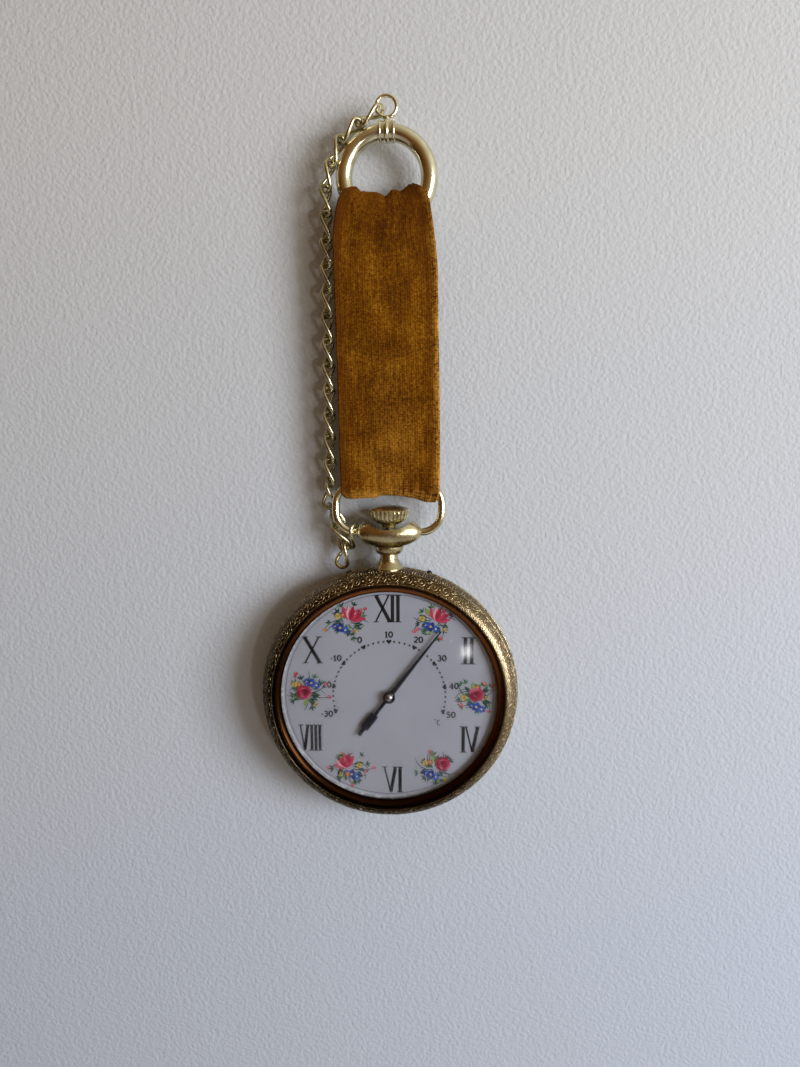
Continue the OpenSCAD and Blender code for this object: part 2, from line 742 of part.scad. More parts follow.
module movement_frame() {
    reach = band_in - 0.4;
    color("#c8a24a") at_case() translate([0, 0, frame_back]) difference() {
        union() {
            intersection() {
                translate([-reach, -frame_w / 2, 0]) cube([2 * reach, frame_w, frame_t]);
                cylinder(r = reach, h = frame_t, $fn = 96);
            }
            cylinder(d = 2 * pillar_r + frame_w / 2, h = frame_t);
            translate([0, 0, -arm_t - 0.2]) cylinder(d = boss_d, h = arm_t + 0.2 + frame_t);
        }
        translate([0, 0, -2 * arm_t]) cylinder(d = bush_d + 2 * fit, h = frame_t + 3 * arm_t);
        for (side = [-1, 1]) {
            translate([side * frame_screw_r, 0, -over]) cylinder(d = screw_d + 4 * fit, h = frame_t + 2 * over);
            translate([0, side * pillar_r, -over]) cylinder(d = screw_d + 2 * fit, h = frame_t + 2 * over);
        }
    }
}

module frame_screws() {
    color(steel) at_case() for (side = [-1, 1]) translate([side * frame_screw_r, 0, frame_back])
        rotate([180, 0, 0]) small_screw(screw_d, frame_t + ledge_t - 0.1, screw_head_d, screw_head_h);
}

module frame_pillars() {
    color("#c8a24a") at_case() for (side = [-1, 1]) translate([0, side * pillar_r, bridge_front]) difference() {
        union() {
            cylinder(d = pillar_d, h = frame_back - bridge_front);
            cylinder(d = screw_d, h = frame_back - bridge_front + frame_t);
        }
        translate([0, 0, -over]) cylinder(d = screw_d + 2 * fit, h = 3 + over);
    }
}

module rear_bridge() {
    color("#c8a24a") at_case() translate([0, 0, bridge_front - bridge_t]) difference() {
        union() {
            translate([-bridge_w / 2, -pillar_r, 0]) cube([bridge_w, 2 * pillar_r, bridge_t]);
            for (side = [-1, 1]) translate([0, side * pillar_r, 0]) cylinder(d = bridge_w, h = bridge_t);
        }
        translate([0, 0, -over]) cylinder(d = bush_d + 2 * fit, h = bridge_t + 2 * over);
        for (side = [-1, 1]) translate([0, side * pillar_r, -over])
            cylinder(d = screw_d + 4 * fit, h = bridge_t + 2 * over);
    }
}

module bridge_screws() {
    color(steel) at_case() for (side = [-1, 1]) translate([0, side * pillar_r, bridge_front - bridge_t])
        rotate([180, 0, 0]) small_screw(screw_d, bridge_t + 2.8, screw_head_d, screw_head_h);
}

module front_bush() {
    back = frame_back - arm_t - 0.2;
    color("#c8a24a") at_case() translate([0, 0, back])
        tube(bush_d, arbor_d + 2 * fit, dial_h + 0.3 - back);
}

module rear_bush() {
    flange_t = 0.5;
    color("#c8a24a") at_case() translate([0, 0, bridge_front - bridge_t]) difference() {
        union() {
            cylinder(d = bush_d, h = bridge_t);
            translate([0, 0, -flange_t]) cylinder(d = bush_d + 2, h = flange_t);
        }
        translate([0, 0, -over]) cylinder(d = arbor_d + 2 * fit, h = bridge_t + 2 * over);
    }
}

module setting_arm() {
    arm_w = 3.4;
    color(steel) at_case() translate([0, 0, frame_back - arm_t]) difference() {
        union() {
            cylinder(d = boss_d + 4, h = arm_t);
            rotate([0, 0, coil_end_a]) translate([0, -arm_w / 2, 0]) cube([post_r, arm_w, arm_t]);
            rotate([0, 0, coil_end_a]) translate([post_r, 0, 0]) cylinder(d = arm_w, h = arm_t);
        }
        translate([0, 0, -over]) cylinder(d = boss_d + 2 * fit, h = arm_t + 2 * over);
        rotate([0, 0, coil_end_a]) translate([post_r, 0, -over]) cylinder(d = screw_d + 2 * fit, h = arm_t + 2 * over);
    }
}

// Angle at which the bimetal coil ends
coil_end_a = coil_turns * 360 % 360;

module coil_post() {
    color(steel) at_case() rotate([0, 0, coil_end_a]) translate([post_r, 0, 0]) difference() {
        union() {
            translate([0, 0, coil_back]) cylinder(d = post_d, h = frame_back - arm_t - coil_back);
            translate([0, 0, coil_back]) cylinder(d = screw_d, h = frame_back - coil_back);
        }
        translate([-coil_t / 2 - 3 * fit, -post_d, coil_back - over])
            cube([coil_t + 6 * fit, 2 * post_d, coil_h + over + fit]);
    }
}

module bimetal_coil() {
    step = 12;
    total = coil_turns * 360;
    end_turn = 1.5;
    function spiral(a, off) = let (r = coil_r0 + coil_pitch * a / 360 + off) [r * cos(a), r * sin(a)];
    color("#a9763f") at_case() translate([0, 0, coil_back]) linear_extrude(coil_h) polygon(concat(
        [for (a = [0 : step : total + end_turn]) spiral(a, coil_t / 2)],
        [for (a = [total : -step : 0]) spiral(a, -coil_t / 2)]));
}

// Outline of a round-ended, fluted crown: wide near the top, drawn in towards the stem
function crown_profile() = let (r = crown_d / 2, h = crown_h)
    [[0, 0], [2.6, 0], [2.9, 0.12 * h], [0.57 * r, 0.17 * h], [0.74 * r, 0.28 * h], [0.87 * r, 0.42 * h],
     [0.96 * r, 0.58 * h], [r, 0.72 * h], [0.985 * r, 0.79 * h], [0.93 * r, 0.85 * h], [0.86 * r, 0.88 * h],
     [0.62 * r, 0.945 * h], [0.35 * r, 0.985 * h], [0, h]];

module crown() {
    flute_d = PI * crown_d / crown_flutes * 0.8;
    tilt = 14;
    color(gold) translate([0, 0, crown_z]) difference() {
        rotate_extrude() polygon(crown_profile());
        translate([0, 0, -over]) cylinder(d = crown_stem_d + 2 * fit, h = crown_bore_h + over + seat);
        for (k = [0 : crown_flutes - 1]) rotate([0, 0, k * 360 / crown_flutes])
            translate([crown_d / 2 + 0.1, 0, 0.72 * crown_h]) rotate([0, tilt, 0])
                cylinder(d = flute_d, h = 2 * crown_h, center = true, $fn = 16);
    }
}

module crown_stem() {
    color(steel) translate([0, 0, crown_stem_low])
        cylinder(d = crown_stem_d, h = crown_z + crown_bore_h - crown_stem_low);
}

// Right half of the pointer's outline, from its tip down to the end of its tail
pointer_hub_r = 1.9;
function pointer_half() = let (
    blade_w = 1.8,
    tip_w = 0.5,
    rod_w = 1.3,
    paddle_w = 3.2,
    paddle_in = 0.46 * tail_l,
    paddle_out = 0.8 * tail_l,
    end_r = 0.85,
    neck_w = 1.4,
    from = acos(blade_w / 2 / pointer_hub_r),
    to = -acos(rod_w / 2 / pointer_hub_r))
    concat(
        [[tip_w / 2, pointer_l - tip_w]],
        [for (k = [0 : 8]) let (a = from + (to - from) * k / 8) pointer_hub_r * [cos(a), sin(a)]],
        [[rod_w / 2, -paddle_in], [paddle_w / 2, -paddle_in], [paddle_w / 2, -paddle_out],
         [neck_w / 2, -paddle_out - 0.8]],
        [for (a = [30 : -20 : -70]) [end_r * cos(a), end_r * sin(a) - tail_l + end_r]]);

module pointer() {
    half = pointer_half();
    color("#20242c") at_case() rotate([0, 0, -pointer_a]) translate([0, 0, pointer_h]) difference() {
        linear_extrude(pointer_t) polygon(concat(
            [[0, pointer_l]],
            half,
            [for (k = [len(half) - 1 : -1 : 0]) [-half[k][0], half[k][1]]]));
        translate([0, 0, -over]) cylinder(d = seat_d + 2 * fit, h = pointer_t + 2 * over);
    }
}

module pointer_collet() {
    color("#15171b") at_case() translate([0, 0, pointer_h + pointer_t]) tube(collet_d, seat_d + 2 * fit, collet_t);
}

module pointer_cap() {
    dome = (pow(cap_d / 2, 2) + cap_h * cap_h) / (2 * cap_h);
    color(steel) at_case() translate([0, 0, pointer_h + pointer_t + collet_t]) difference() {
        intersection() {
            cylinder(d = cap_d, h = cap_h);
            translate([0, 0, cap_h - dome]) sphere(dome);
        }
        translate([0, 0, -over]) cylinder(d = seat_d + 2 * fit, h = over + 0.45);
    }
}

module pointer_arbor() {
    color(steel) at_case() {
        translate([0, 0, arbor_back]) cylinder(d = arbor_d, h = pointer_h - arbor_back);
        translate([0, 0, pointer_h - over]) cylinder(d = seat_d, h = arbor_top - pointer_h + over);
    }
}

module coil_collet() {
    color("#c8a24a") at_case() translate([0, 0, coil_back]) tube(collet_in_d, arbor_d + 2 * fit, coil_h);
}

hanging_eye();
ring_collar();
ring_tube();
bolt_spring();
chain_top();
ring_bolt();
bolt_lug();
velvet_strap();
chain_side();
bow();
chain_end();
bezel();
crystal();
crystal_gasket();
dial_plate();
case_band();
rear_cover();
rim_screws();
pendant_foot();
pendant_head();
pendant_stud();
pendant_nut();
movement_frame();
frame_screws();
frame_pillars();
rear_bridge();
bridge_screws();
front_bush();
rear_bush();
setting_arm();
coil_post();
bimetal_coil();
crown();
crown_stem();
pointer();
pointer_collet();
pointer_cap();
pointer_arbor();
coil_collet();
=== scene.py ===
"""Looks of a wall thermometer in the shape of a large pocket watch.

A gold plated bolt ring holds a folded velvet strap and a curb chain. They carry a watch bow with
its pendant, crown and round case: an engraved bronze bezel, a painted enamel dial and a domed
glass. Sizes are in millimetres, and become metres when a mesh is made.
"""

import bisect
import math
import random

import bmesh
import bpy
from mathutils import Matrix, Vector


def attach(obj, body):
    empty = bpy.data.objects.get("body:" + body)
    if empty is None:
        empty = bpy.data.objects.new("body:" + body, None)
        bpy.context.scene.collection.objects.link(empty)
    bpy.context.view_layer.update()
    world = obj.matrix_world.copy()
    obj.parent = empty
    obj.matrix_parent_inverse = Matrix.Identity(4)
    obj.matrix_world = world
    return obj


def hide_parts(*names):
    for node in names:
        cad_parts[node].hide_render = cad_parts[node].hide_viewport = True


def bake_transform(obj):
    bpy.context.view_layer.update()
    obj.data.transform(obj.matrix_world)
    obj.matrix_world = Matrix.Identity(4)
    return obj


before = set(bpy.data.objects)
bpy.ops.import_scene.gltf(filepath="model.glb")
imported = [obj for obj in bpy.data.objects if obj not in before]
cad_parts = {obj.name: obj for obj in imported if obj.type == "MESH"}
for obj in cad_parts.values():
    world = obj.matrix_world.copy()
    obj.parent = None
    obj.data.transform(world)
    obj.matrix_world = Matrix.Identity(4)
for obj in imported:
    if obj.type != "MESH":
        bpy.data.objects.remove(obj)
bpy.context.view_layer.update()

MM = 0.001

# Places that the pieces share, in millimetres
RING_Z, RING_R, TUBE_R = -23.7, 15.3, 3.0
BAR_Z, BOW_Z, CASE_Z = -134.0, -152.0, -215.6
BOW_WIRE, BOW_W, BOW_TOP_X, BOW_TOP_R = 3.0, 40.3, 12.95, 7.2
CASE_R, CREST_R, CREST_W, CREST_H = 50.0, 44.8, 5.2, 9.6
DIAL_H = 5.4
FLOOR_Z = -1200


# Materials

def srgb(code, share=1.0):
    """Linear colour of an sRGB hex value, or a share of its light."""
    parts = [int(code[i:i + 2], 16) / 255 for i in (1, 3, 5)]
    parts = [p / 12.92 if p <= 0.04045 else ((p + 0.055) / 1.055) ** 2.4 for p in parts]
    return (*[p * share for p in parts], 1.0)


def feed(node, inputs):
    """Puts values on a node's inputs, or links from sockets or other nodes' first open output."""
    for socket, value in inputs.items():
        if isinstance(value, bpy.types.Node):
            value = next(output for output in value.outputs if output.enabled)
        if isinstance(value, bpy.types.NodeSocket):
            node.id_data.links.new(value, node.inputs[socket])
        else:
            node.inputs[socket].default_value = value


def add(tree, kind, inputs=None, stops=None, **settings):
    """Adds a node with its settings and links."""
    node = tree.nodes.new(kind)
    for name, value in settings.items():
        setattr(node, name, value)
    if stops:
        marks = node.color_ramp.elements
        while len(marks) < len(stops):
            marks.new(0.5)
        for mark, (place, colour) in zip(marks, stops):
            mark.position = place
            mark.color = colour if isinstance(colour, tuple) else srgb(colour)
    feed(node, inputs or {})
    return node


def surface(name, **sockets):
    """A new material, with its tree and its principled shader set as given."""
    material = bpy.data.materials.new(name)
    material.use_nodes = True
    shader = material.node_tree.nodes["Principled BSDF"]
    feed(shader, {socket.replace("_", " "): value for socket, value in sockets.items()})
    return material, material.node_tree, shader


def from_case(tree, place):
    """The place from the case's middle, and how far it lies towards the upper right."""
    centred = add(tree, "ShaderNodeVectorMath", {0: place, 1: (0, 0, -CASE_Z * MM)},
                  operation="ADD")
    return centred, add(tree, "ShaderNodeVectorMath", {0: centred, 1: (0.55, 0, 0.8)},
                        operation="DOT_PRODUCT")


def plated_gold(name, bright, dull, roughness):
    """Thin gold plating on brass: polished and pale, a little greener and duller where worn."""
    material, tree, shader = surface(name, Metallic=1.0)
    place = add(tree, "ShaderNodeTexCoord").outputs["Object"]
    cloud = add(tree, "ShaderNodeTexNoise", {"Vector": place, "Scale": 160.0, "Detail": 5.0})
    tone = add(tree, "ShaderNodeValToRGB", {"Fac": cloud}, [(0.36, dull), (0.62, bright)])
    pits = add(tree, "ShaderNodeTexVoronoi", {"Vector": place, "Scale": 260.0, "Randomness": 1.0})
    spot = add(tree, "ShaderNodeValToRGB", {"Fac": pits}, [(0.05, "#3a3220"), (0.1, "#ffffff")])
    colour = add(tree, "ShaderNodeMix", {0: 1.0, 6: tone, 7: spot}, data_type="RGBA",
                 blend_type="MULTIPLY")
    grain = add(tree, "ShaderNodeTexNoise", {"Vector": place, "Scale": 900.0, "Detail": 3.0})
    rough = add(tree, "ShaderNodeMapRange", {"Value": grain, "To Min": roughness * 0.7,
                                             "To Max": roughness * 1.5})
    bump = add(tree, "ShaderNodeBump", {"Height": cloud, "Strength": 0.25, "Distance": 0.0002})
    feed(shader, {"Base Color": colour, "Roughness": rough, "Normal": bump})
    return material


def engraved_bronze():
    """Antique bronze: a red copper cove, then a hatched round, greyer at the left, with a painted
    highlight on the right and painted shade at the lower left.
    """
    material, tree, shader = surface("antique_engraved_bronze", Metallic=1.0)
    place = add(tree, "ShaderNodeTexCoord").outputs["Object"]
    centred, toward_light = from_case(tree, place)
    flat = add(tree, "ShaderNodeVectorMath", {0: centred, 1: (1, 0, 1)}, operation="MULTIPLY")
    radius = add(tree, "ShaderNodeVectorMath", {0: flat}, operation="LENGTH")
    across = add(tree, "ShaderNodeMapRange", {"Value": radius, "From Min": 0.0415,
                                              "From Max": 0.0501})
    on_round = add(tree, "ShaderNodeMapRange", {"Value": across, "From Min": 0.33,
                                                "From Max": 0.42})
    x, y, z = add(tree, "ShaderNodeSeparateXYZ", {0: centred}).outputs
    # Graver hatching of 0.4 mm between the scrolls, slanting along the rim
    angle = add(tree, "ShaderNodeMath", {0: x, 1: z}, operation="ARCTAN2")
    run = add(tree, "ShaderNodeMath", {0: angle, 1: CASE_R * MM}, operation="MULTIPLY")
    rim = add(tree, "ShaderNodeCombineXYZ", {"X": run, "Y": y, "Z": radius})
    cuts = add(tree, "ShaderNodeTexWave",
               {"Vector": rim, "Scale": 420.0, "Distortion": 4.0, "Detail Scale": 2.0},
               bands_direction="DIAGONAL").outputs["Fac"]
    cut_tone = add(tree, "ShaderNodeValToRGB", {"Fac": cuts}, [(0.2, "#8d7f68"), (0.6, "#ffffff")])
    # Patina, grey green on the left, and a painted highlight that pales the right side, where the
    # window light falls
    patina = add(tree, "ShaderNodeTexNoise", {"Vector": place, "Scale": 85.0, "Detail": 7.0,
                                              "Roughness": 0.7})
    ground = add(tree, "ShaderNodeValToRGB", {"Fac": patina},
                 [(0.36, "#33260f"), (0.52, "#5c4526"), (0.68, "#816639")])
    left = add(tree, "ShaderNodeMapRange", {"Value": x, "From Min": 0.01, "From Max": -0.045})
    green = add(tree, "ShaderNodeMath", {0: left, 1: patina}, operation="MULTIPLY")
    aged = add(tree, "ShaderNodeMix", {0: green, 6: ground, 7: srgb("#565544")},
               data_type="RGBA")
    # Painted highlight: the right side is mixed towards pale brass for the window's light on it
    right = add(tree, "ShaderNodeMapRange", {"Value": x, "From Min": 0.018, "From Max": 0.042,
                                             "To Max": 0.65}, interpolation_type="SMOOTHSTEP")
    wear_and_painted_highlight = add(tree, "ShaderNodeMix", {0: right, 6: aged, 7: srgb("#b7a686")},
                 data_type="RGBA")
    engraved = add(tree, "ShaderNodeMix", {0: 0.8, 6: wear_and_painted_highlight, 7: cut_tone}, data_type="RGBA",
                   blend_type="MULTIPLY")
    # The cove's bands, from the glass outwards
    zones = add(tree, "ShaderNodeValToRGB", {"Fac": across},
                [(0.0, "#3f2413"), (0.12, "#8a5733"), (0.25, "#70431f"), (0.31, "#2a1c10"),
                 (0.38, "#5f492a")])
    # Painted shade darkens the lower left, away from the light, most of all in the cove
    cove_painted_shade, lower_left_painted_shade = [add(tree, "ShaderNodeMapRange",
                       {"Value": toward_light, "From Min": low, "From Max": high, "To Min": least},
                       interpolation_type="SMOOTHSTEP")
                   for low, high, least in ((-0.012, 0.03, 0.36), (-0.036, 0.024, 0.34))]
    cove = add(tree, "ShaderNodeVectorMath", {0: zones, 1: cove_painted_shade}, operation="MULTIPLY")
    both = add(tree, "ShaderNodeMix", {0: on_round, 6: cove, 7: engraved}, data_type="RGBA")
    colour = add(tree, "ShaderNodeVectorMath", {0: both, 1: lower_left_painted_shade}, operation="MULTIPLY")
    rough = add(tree, "ShaderNodeMapRange", {"Value": on_round, "To Min": 0.22, "To Max": 0.3})
    depth = add(tree, "ShaderNodeMath", {0: cuts, 1: on_round}, operation="MULTIPLY")
    bump = add(tree, "ShaderNodeBump", {"Height": depth, "Strength": 0.45, "Distance": 0.00008})
    feed(shader, {"Base Color": colour, "Roughness": rough, "Normal": bump})
    return material


def metal(name, code, roughness, scale=700.0, painted_shade_below=False):
    """A machined metal with a fine grain, and painted shade at the case's lower left where asked.
    """
    material, tree, shader = surface(name, Metallic=1.0)
    place = add(tree, "ShaderNodeTexCoord").outputs["Object"]
    grain = add(tree, "ShaderNodeTexNoise", {"Vector": place, "Scale": scale, "Detail": 3.0})
    tone = add(tree, "ShaderNodeValToRGB", {"Fac": grain}, [(0.3, srgb(code, 0.62)), (0.65, code)])
    if painted_shade_below:
        # Painted shade, darker towards the lower left, away from the light
        painted_shade_factor = add(tree, "ShaderNodeMapRange",
                  {"Value": from_case(tree, place)[1], "From Min": -0.035, "From Max": 0.02,
                   "To Min": 0.4}, interpolation_type="SMOOTHSTEP")
        tone = add(tree, "ShaderNodeVectorMath", {0: tone, 1: painted_shade_factor}, operation="MULTIPLY")
    rough = add(tree, "ShaderNodeMapRange", {"Value": grain, "To Min": roughness * 0.7,
                                             "To Max": roughness * 1.4})
    feed(shader, {"Base Color": tone, "Roughness": rough})
    return material


def enamel():
    """Fired white enamel, painted a cool lavender grey as the shade of its deep bezel, slightly
    glossy.
    """
    material, tree, shader = surface("white_dial_enamel", Roughness=0.32, Coat_Weight=0.15)
    place = add(tree, "ShaderNodeTexCoord").outputs["Object"]
    cloud = add(tree, "ShaderNodeTexNoise", {"Vector": place, "Scale": 40.0, "Detail": 4.0})
    feed(shader, {"Base Color": add(tree, "ShaderNodeValToRGB", {"Fac": cloud},
                                    [(0.3, "#8f9199"), (0.7, "#9698a0")])})
    return material


def china_inks():
    """Printed ink and china paint, each shape in the colour that its corners carry."""
    material, tree, shader = surface("dial_inks", Roughness=0.4)
    ink = add(tree, "ShaderNodeAttribute", attribute_name="ink").outputs["Color"]
    place = add(tree, "ShaderNodeTexCoord").outputs["Object"]
    cloud = add(tree, "ShaderNodeTexNoise", {"Vector": place, "Scale": 1500.0, "Detail": 2.0})
    wash = add(tree, "ShaderNodeMapRange", {"Value": cloud, "To Min": 0.55})
    feed(shader, {"Base Color": add(tree, "ShaderNodeVectorMath", {0: ink, 1: wash},
                                    operation="MULTIPLY")})
    return material


def cotton_velvet():
    """Cotton velvet: short pile in streaks, over a woven ground that shows where worn."""
    material, tree, shader = surface(
        "ochre_cotton_velvet", Roughness=0.95, Sheen_Weight=0.22, Sheen_Roughness=0.4,
        Sheen_Tint=srgb("#c08a3c"), Specular_IOR_Level=0.06)
    place = add(tree, "ShaderNodeTexCoord").outputs["Object"]
    cloth = add(tree, "ShaderNodeUVMap", uv_map="cloth")
    # Streaks of brushed pile, 1 mm wide and 12 mm long
    drawn_out = add(tree, "ShaderNodeMapping", {"Vector": cloth, "Scale": (900, 75, 1)})
    streaks = add(tree, "ShaderNodeTexNoise", {"Vector": drawn_out, "Scale": 1.0, "Detail": 3.0})
    # Crushed patches, about 12 mm across
    patches = add(tree, "ShaderNodeTexNoise", {"Vector": place, "Scale": 60.0, "Detail": 5.0,
                                               "Roughness": 0.6, "Distortion": 0.5})
    pile = add(tree, "ShaderNodeTexNoise", {"Vector": place, "Scale": 1150.0, "Detail": 2.0})
    # Ground weave of 0.4 mm, drawn twice as coarse as real so that it shows
    rows, ends = [add(tree, "ShaderNodeTexWave", {"Vector": cloth, "Scale": 370.0,
                                                  "Distortion": 1.5},
                      bands_direction=way).outputs["Fac"] for way in "YX"]
    weave = add(tree, "ShaderNodeMath", {0: rows, 1: ends}, operation="ADD")
    mixed = -0.03
    for part, share in ((streaks, 0.22), (patches, 0.38), (pile, 0.38), (weave, 0.03)):
        mixed = add(tree, "ShaderNodeMath", {0: part, 1: share, 2: mixed},
                    operation="MULTIPLY_ADD")
    tone = add(tree, "ShaderNodeValToRGB", {"Fac": mixed},
               [(0.39, "#472502"), (0.47, "#613602"), (0.54, "#764806"), (0.63, "#926118")])
    worn, unworn_and_painted_shade = [add(tree, "ShaderNodeAttribute", attribute_name=name).outputs["Fac"]
                   for name in ("wear", "unworn_and_painted_shade")]
    bare = add(tree, "ShaderNodeMapRange", {"Value": mixed, "From Min": 0.4, "From Max": 0.6})
    wear_and_painted_highlight = add(tree, "ShaderNodeMath", {0: worn, 1: bare}, operation="MULTIPLY")
    pale = add(tree, "ShaderNodeMix", {0: wear_and_painted_highlight, 6: tone, 7: srgb("#c8913a")},
               data_type="RGBA")
    # Darker where unworn, and with painted shade over the upper part
    colour = add(tree, "ShaderNodeMix", {0: unworn_and_painted_shade, 6: pale, 7: srgb("#4f2703")},
                 data_type="RGBA")
    height = add(tree, "ShaderNodeMath", {0: weave, 1: 0.2, 2: pile}, operation="MULTIPLY_ADD")
    bump = add(tree, "ShaderNodeBump", {"Height": height, "Strength": 0.6, "Distance": 0.0004})
    feed(shader, {"Base Color": colour, "Normal": bump})
    return material


def plain(name, code, roughness):
    """Lacquer, rubber or blued steel in one colour with a faint mottle."""
    material, tree, shader = surface(name, Roughness=roughness)
    place = add(tree, "ShaderNodeTexCoord").outputs["Object"]
    cloud = add(tree, "ShaderNodeTexNoise", {"Vector": place, "Scale": 300.0, "Detail": 3.0})
    feed(shader, {"Base Color": add(tree, "ShaderNodeValToRGB", {"Fac": cloud},
                                    [(0.3, srgb(code, 0.75)), (0.7, code)])})
    return material


def clear_glass():
    """Domed mineral glass. Most light goes straight through, so that the print stays sharp."""
    return surface("clear_watch_glass", Base_Color=(1, 1, 1, 1), Roughness=0.09, IOR=1.5,
                   Specular_IOR_Level=1.0, Transmission_Weight=1.0, Alpha=0.12)[0]


GOLD = plated_gold("pale_gold_plating", "#eee9cd", "#dad3b0", 0.17)
CHAIN_GOLD = plated_gold("chain_gold_plating", "#cdc39c", "#9f9470", 0.24)
# The crown, pendant foot and head: the same plating, rougher, and darker as painted shade
CROWN_GOLD = plated_gold("crown_gold_plating", "#d4c9a2", "#ac9f76", 0.24)
BRONZE = engraved_bronze()
GILT = metal("gilt_engraving", "#d3bd92", 0.26, 500.0, painted_shade_below=True)
CASE_BRASS = metal("satin_case_brass", "#8f7c55", 0.4)
MOVEMENT_BRASS = metal("satin_movement_brass", "#c9a75c", 0.35)
STEEL = metal("satin_screw_steel", "#7d7b78", 0.35)
DARK_STEEL = metal("darkened_rim_screw_steel", "#4b4845", 0.2)
SPRING_STEEL = metal("drawn_spring_steel", "#85878c", 0.3)
CAP_STEEL = metal("polished_cap_steel", "#c4c6ca", 0.16)
BIMETAL = metal("bare_bimetal_strip", "#a77d55", 0.4)
DIAL = enamel()
INKS = china_inks()
VELVET = cotton_velvet()
BLUED = plain("blued_pointer_steel", "#14161f", 0.3)
BLACK = plain("black_lacquer", "#0d0d10", 0.3)
GASKET = plain("pale_gasket_rubber", "#c9cacb", 0.7)
GLASS = clear_glass()


# Meshes

def smooth_round_faces():
    """Tree that joins a node's loose triangles and smooths all but its sharp edges."""
    tree = bpy.data.node_groups.new("smooth_round_faces", "GeometryNodeTree")
    socket = tree.interface.new_socket
    socket("Geometry", in_out="INPUT", socket_type="NodeSocketGeometry")
    sharp = socket("Sharp angle", in_out="INPUT", socket_type="NodeSocketFloat")
    sharp.default_value = math.radians(32)
    socket("Geometry", in_out="OUTPUT", socket_type="NodeSocketGeometry")
    given = add(tree, "NodeGroupInput").outputs
    merged = add(tree, "GeometryNodeMergeByDistance",
                 {"Geometry": given["Geometry"], "Distance": 0.000002})
    angle = add(tree, "GeometryNodeInputMeshEdgeAngle").outputs["Unsigned Angle"]
    crisp = add(tree, "FunctionNodeCompare", {0: angle, 1: given["Sharp angle"]},
                operation="GREATER_THAN")
    faces = add(tree, "GeometryNodeSetShadeSmooth", {"Geometry": merged, "Shade Smooth": True},
                domain="FACE")
    edges = add(tree, "GeometryNodeSetShadeSmooth",
                {"Geometry": faces, "Selection": crisp, "Shade Smooth": False}, domain="EDGE")
    add(tree, "NodeGroupOutput", {"Geometry": edges})
    return tree


SMOOTH = smooth_round_faces()


def dress(material, *nodes):
    """Gives CAD nodes their material and smooths their round faces."""
    for name in nodes:
        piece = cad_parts[name]
        piece.data.materials.clear()
        piece.data.materials.append(material)
        piece.modifiers.new("Smooth round faces", "NODES").node_group = SMOOTH


def mesh_piece(name, points, faces, material, body=None, smooth=True):
    """A piece from points in millimetres, riding on a body where one is given."""
    mesh = bpy.data.meshes.new(name)
    mesh.from_pydata([(x * MM, y * MM, z * MM) for x, y, z in points], [], faces)
    mesh.materials.append(material)
    mesh.update()
    if smooth:
        mesh.shade_smooth()
    piece = bpy.data.objects.new(name, mesh)
    bpy.context.scene.collection.objects.link(piece)
    if body:
        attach(piece, body)
    return piece


def tube_faces(rows, count):
    """Faces of a tube through rows of points, with both its ends closed."""
    faces = []
    for j in range(rows - 1):
        for i in range(count):
            a, b = j * count + i, j * count + (i + 1) % count
            faces.append((a, b, b + count, a + count))
    faces.append(tuple(range(count - 1, -1, -1)))
    faces.append(tuple((rows - 1) * count + i for i in range(count)))
    return faces


def outward(mesh):
    """Turns a closed mesh's faces to look outwards."""
    bm = bmesh.new()
    bm.from_mesh(mesh)
    bmesh.ops.recalc_face_normals(bm, faces=bm.faces)
    bm.to_mesh(mesh)
    bm.free()


# Camera and light

def make_camera():
    """The phone that took the photograph, 0.3 m away and tilted down."""
    yaw, pitch, roll = (math.radians(a) for a in (1.879, 9.007, -0.221))
    ahead = Vector((-math.sin(yaw) * math.cos(pitch), math.cos(yaw) * math.cos(pitch),
                    -math.sin(pitch)))
    right = Vector((math.cos(yaw), math.sin(yaw), 0))
    up = right.cross(ahead)
    x = math.cos(roll) * right + math.sin(roll) * up
    y = -math.sin(roll) * right + math.cos(roll) * up
    data = bpy.data.cameras.new("camera")
    data.lens, data.sensor_width, data.clip_start = 27.03, 36.0, 0.01
    camera = bpy.data.objects.new("camera", data)
    bpy.context.scene.collection.objects.link(camera)
    place = Matrix.Translation(Vector((14.187, -302.539, -104.639)) * MM)
    camera.matrix_world = place @ Matrix((x, y, -ahead)).transposed().to_4x4()
    bpy.context.scene.camera = camera


def area_light(name, place, target, size, power, colour):
    data = bpy.data.lights.new(name, "AREA")
    data.shape, data.size, data.energy, data.color = "SQUARE", size, power, srgb(colour)[:3]
    lamp = bpy.data.objects.new(name, data)
    bpy.context.scene.collection.objects.link(lamp)
    lamp.location = place
    lamp.rotation_mode = "QUATERNION"
    lamp.rotation_quaternion = (Vector(place) - Vector(target)).to_track_quat("Z", "Y")


def wall_paint():
    """Pale wall paint with painted light, warmer and lighter above and cooler below, and the
    orange peel of a roller.
    """
    material, tree, shader = surface("pale_wall_paint", Roughness=0.9)
    place = add(tree, "ShaderNodeTexCoord").outputs["Object"]
    up = add(tree, "ShaderNodeSeparateXYZ", {0: place}).outputs["Z"]
    # Painted light: cooler below, and warmer and lighter towards the top
    height = add(tree, "ShaderNodeMapRange", {"Value": up, "From Min": -0.33, "From Max": 0.0})
    paint = add(tree, "ShaderNodeValToRGB", {"Fac": height}, [(0.0, "#b3b9c2"), (1.0, "#c2c1bd")])
    grain = add(tree, "ShaderNodeTexNoise", {"Vector": place, "Scale": 760.0, "Detail": 2.0,
                                             "Roughness": 0.4})
    bump = add(tree, "ShaderNodeBump", {"Height": grain, "Strength": 0.5, "Distance": 0.0007})
    feed(shader, {"Base Color": paint, "Normal": bump})
    # Seen from behind, the wall lets the camera through, so that the object's back shows too
    behind = add(tree, "ShaderNodeNewGeometry").outputs["Backfacing"]
    both = add(tree, "ShaderNodeMixShader",
               {0: behind, 1: shader, 2: add(tree, "ShaderNodeBsdfTransparent")})
    feed(tree.nodes["Material Output"], {"Surface": both})
    return material


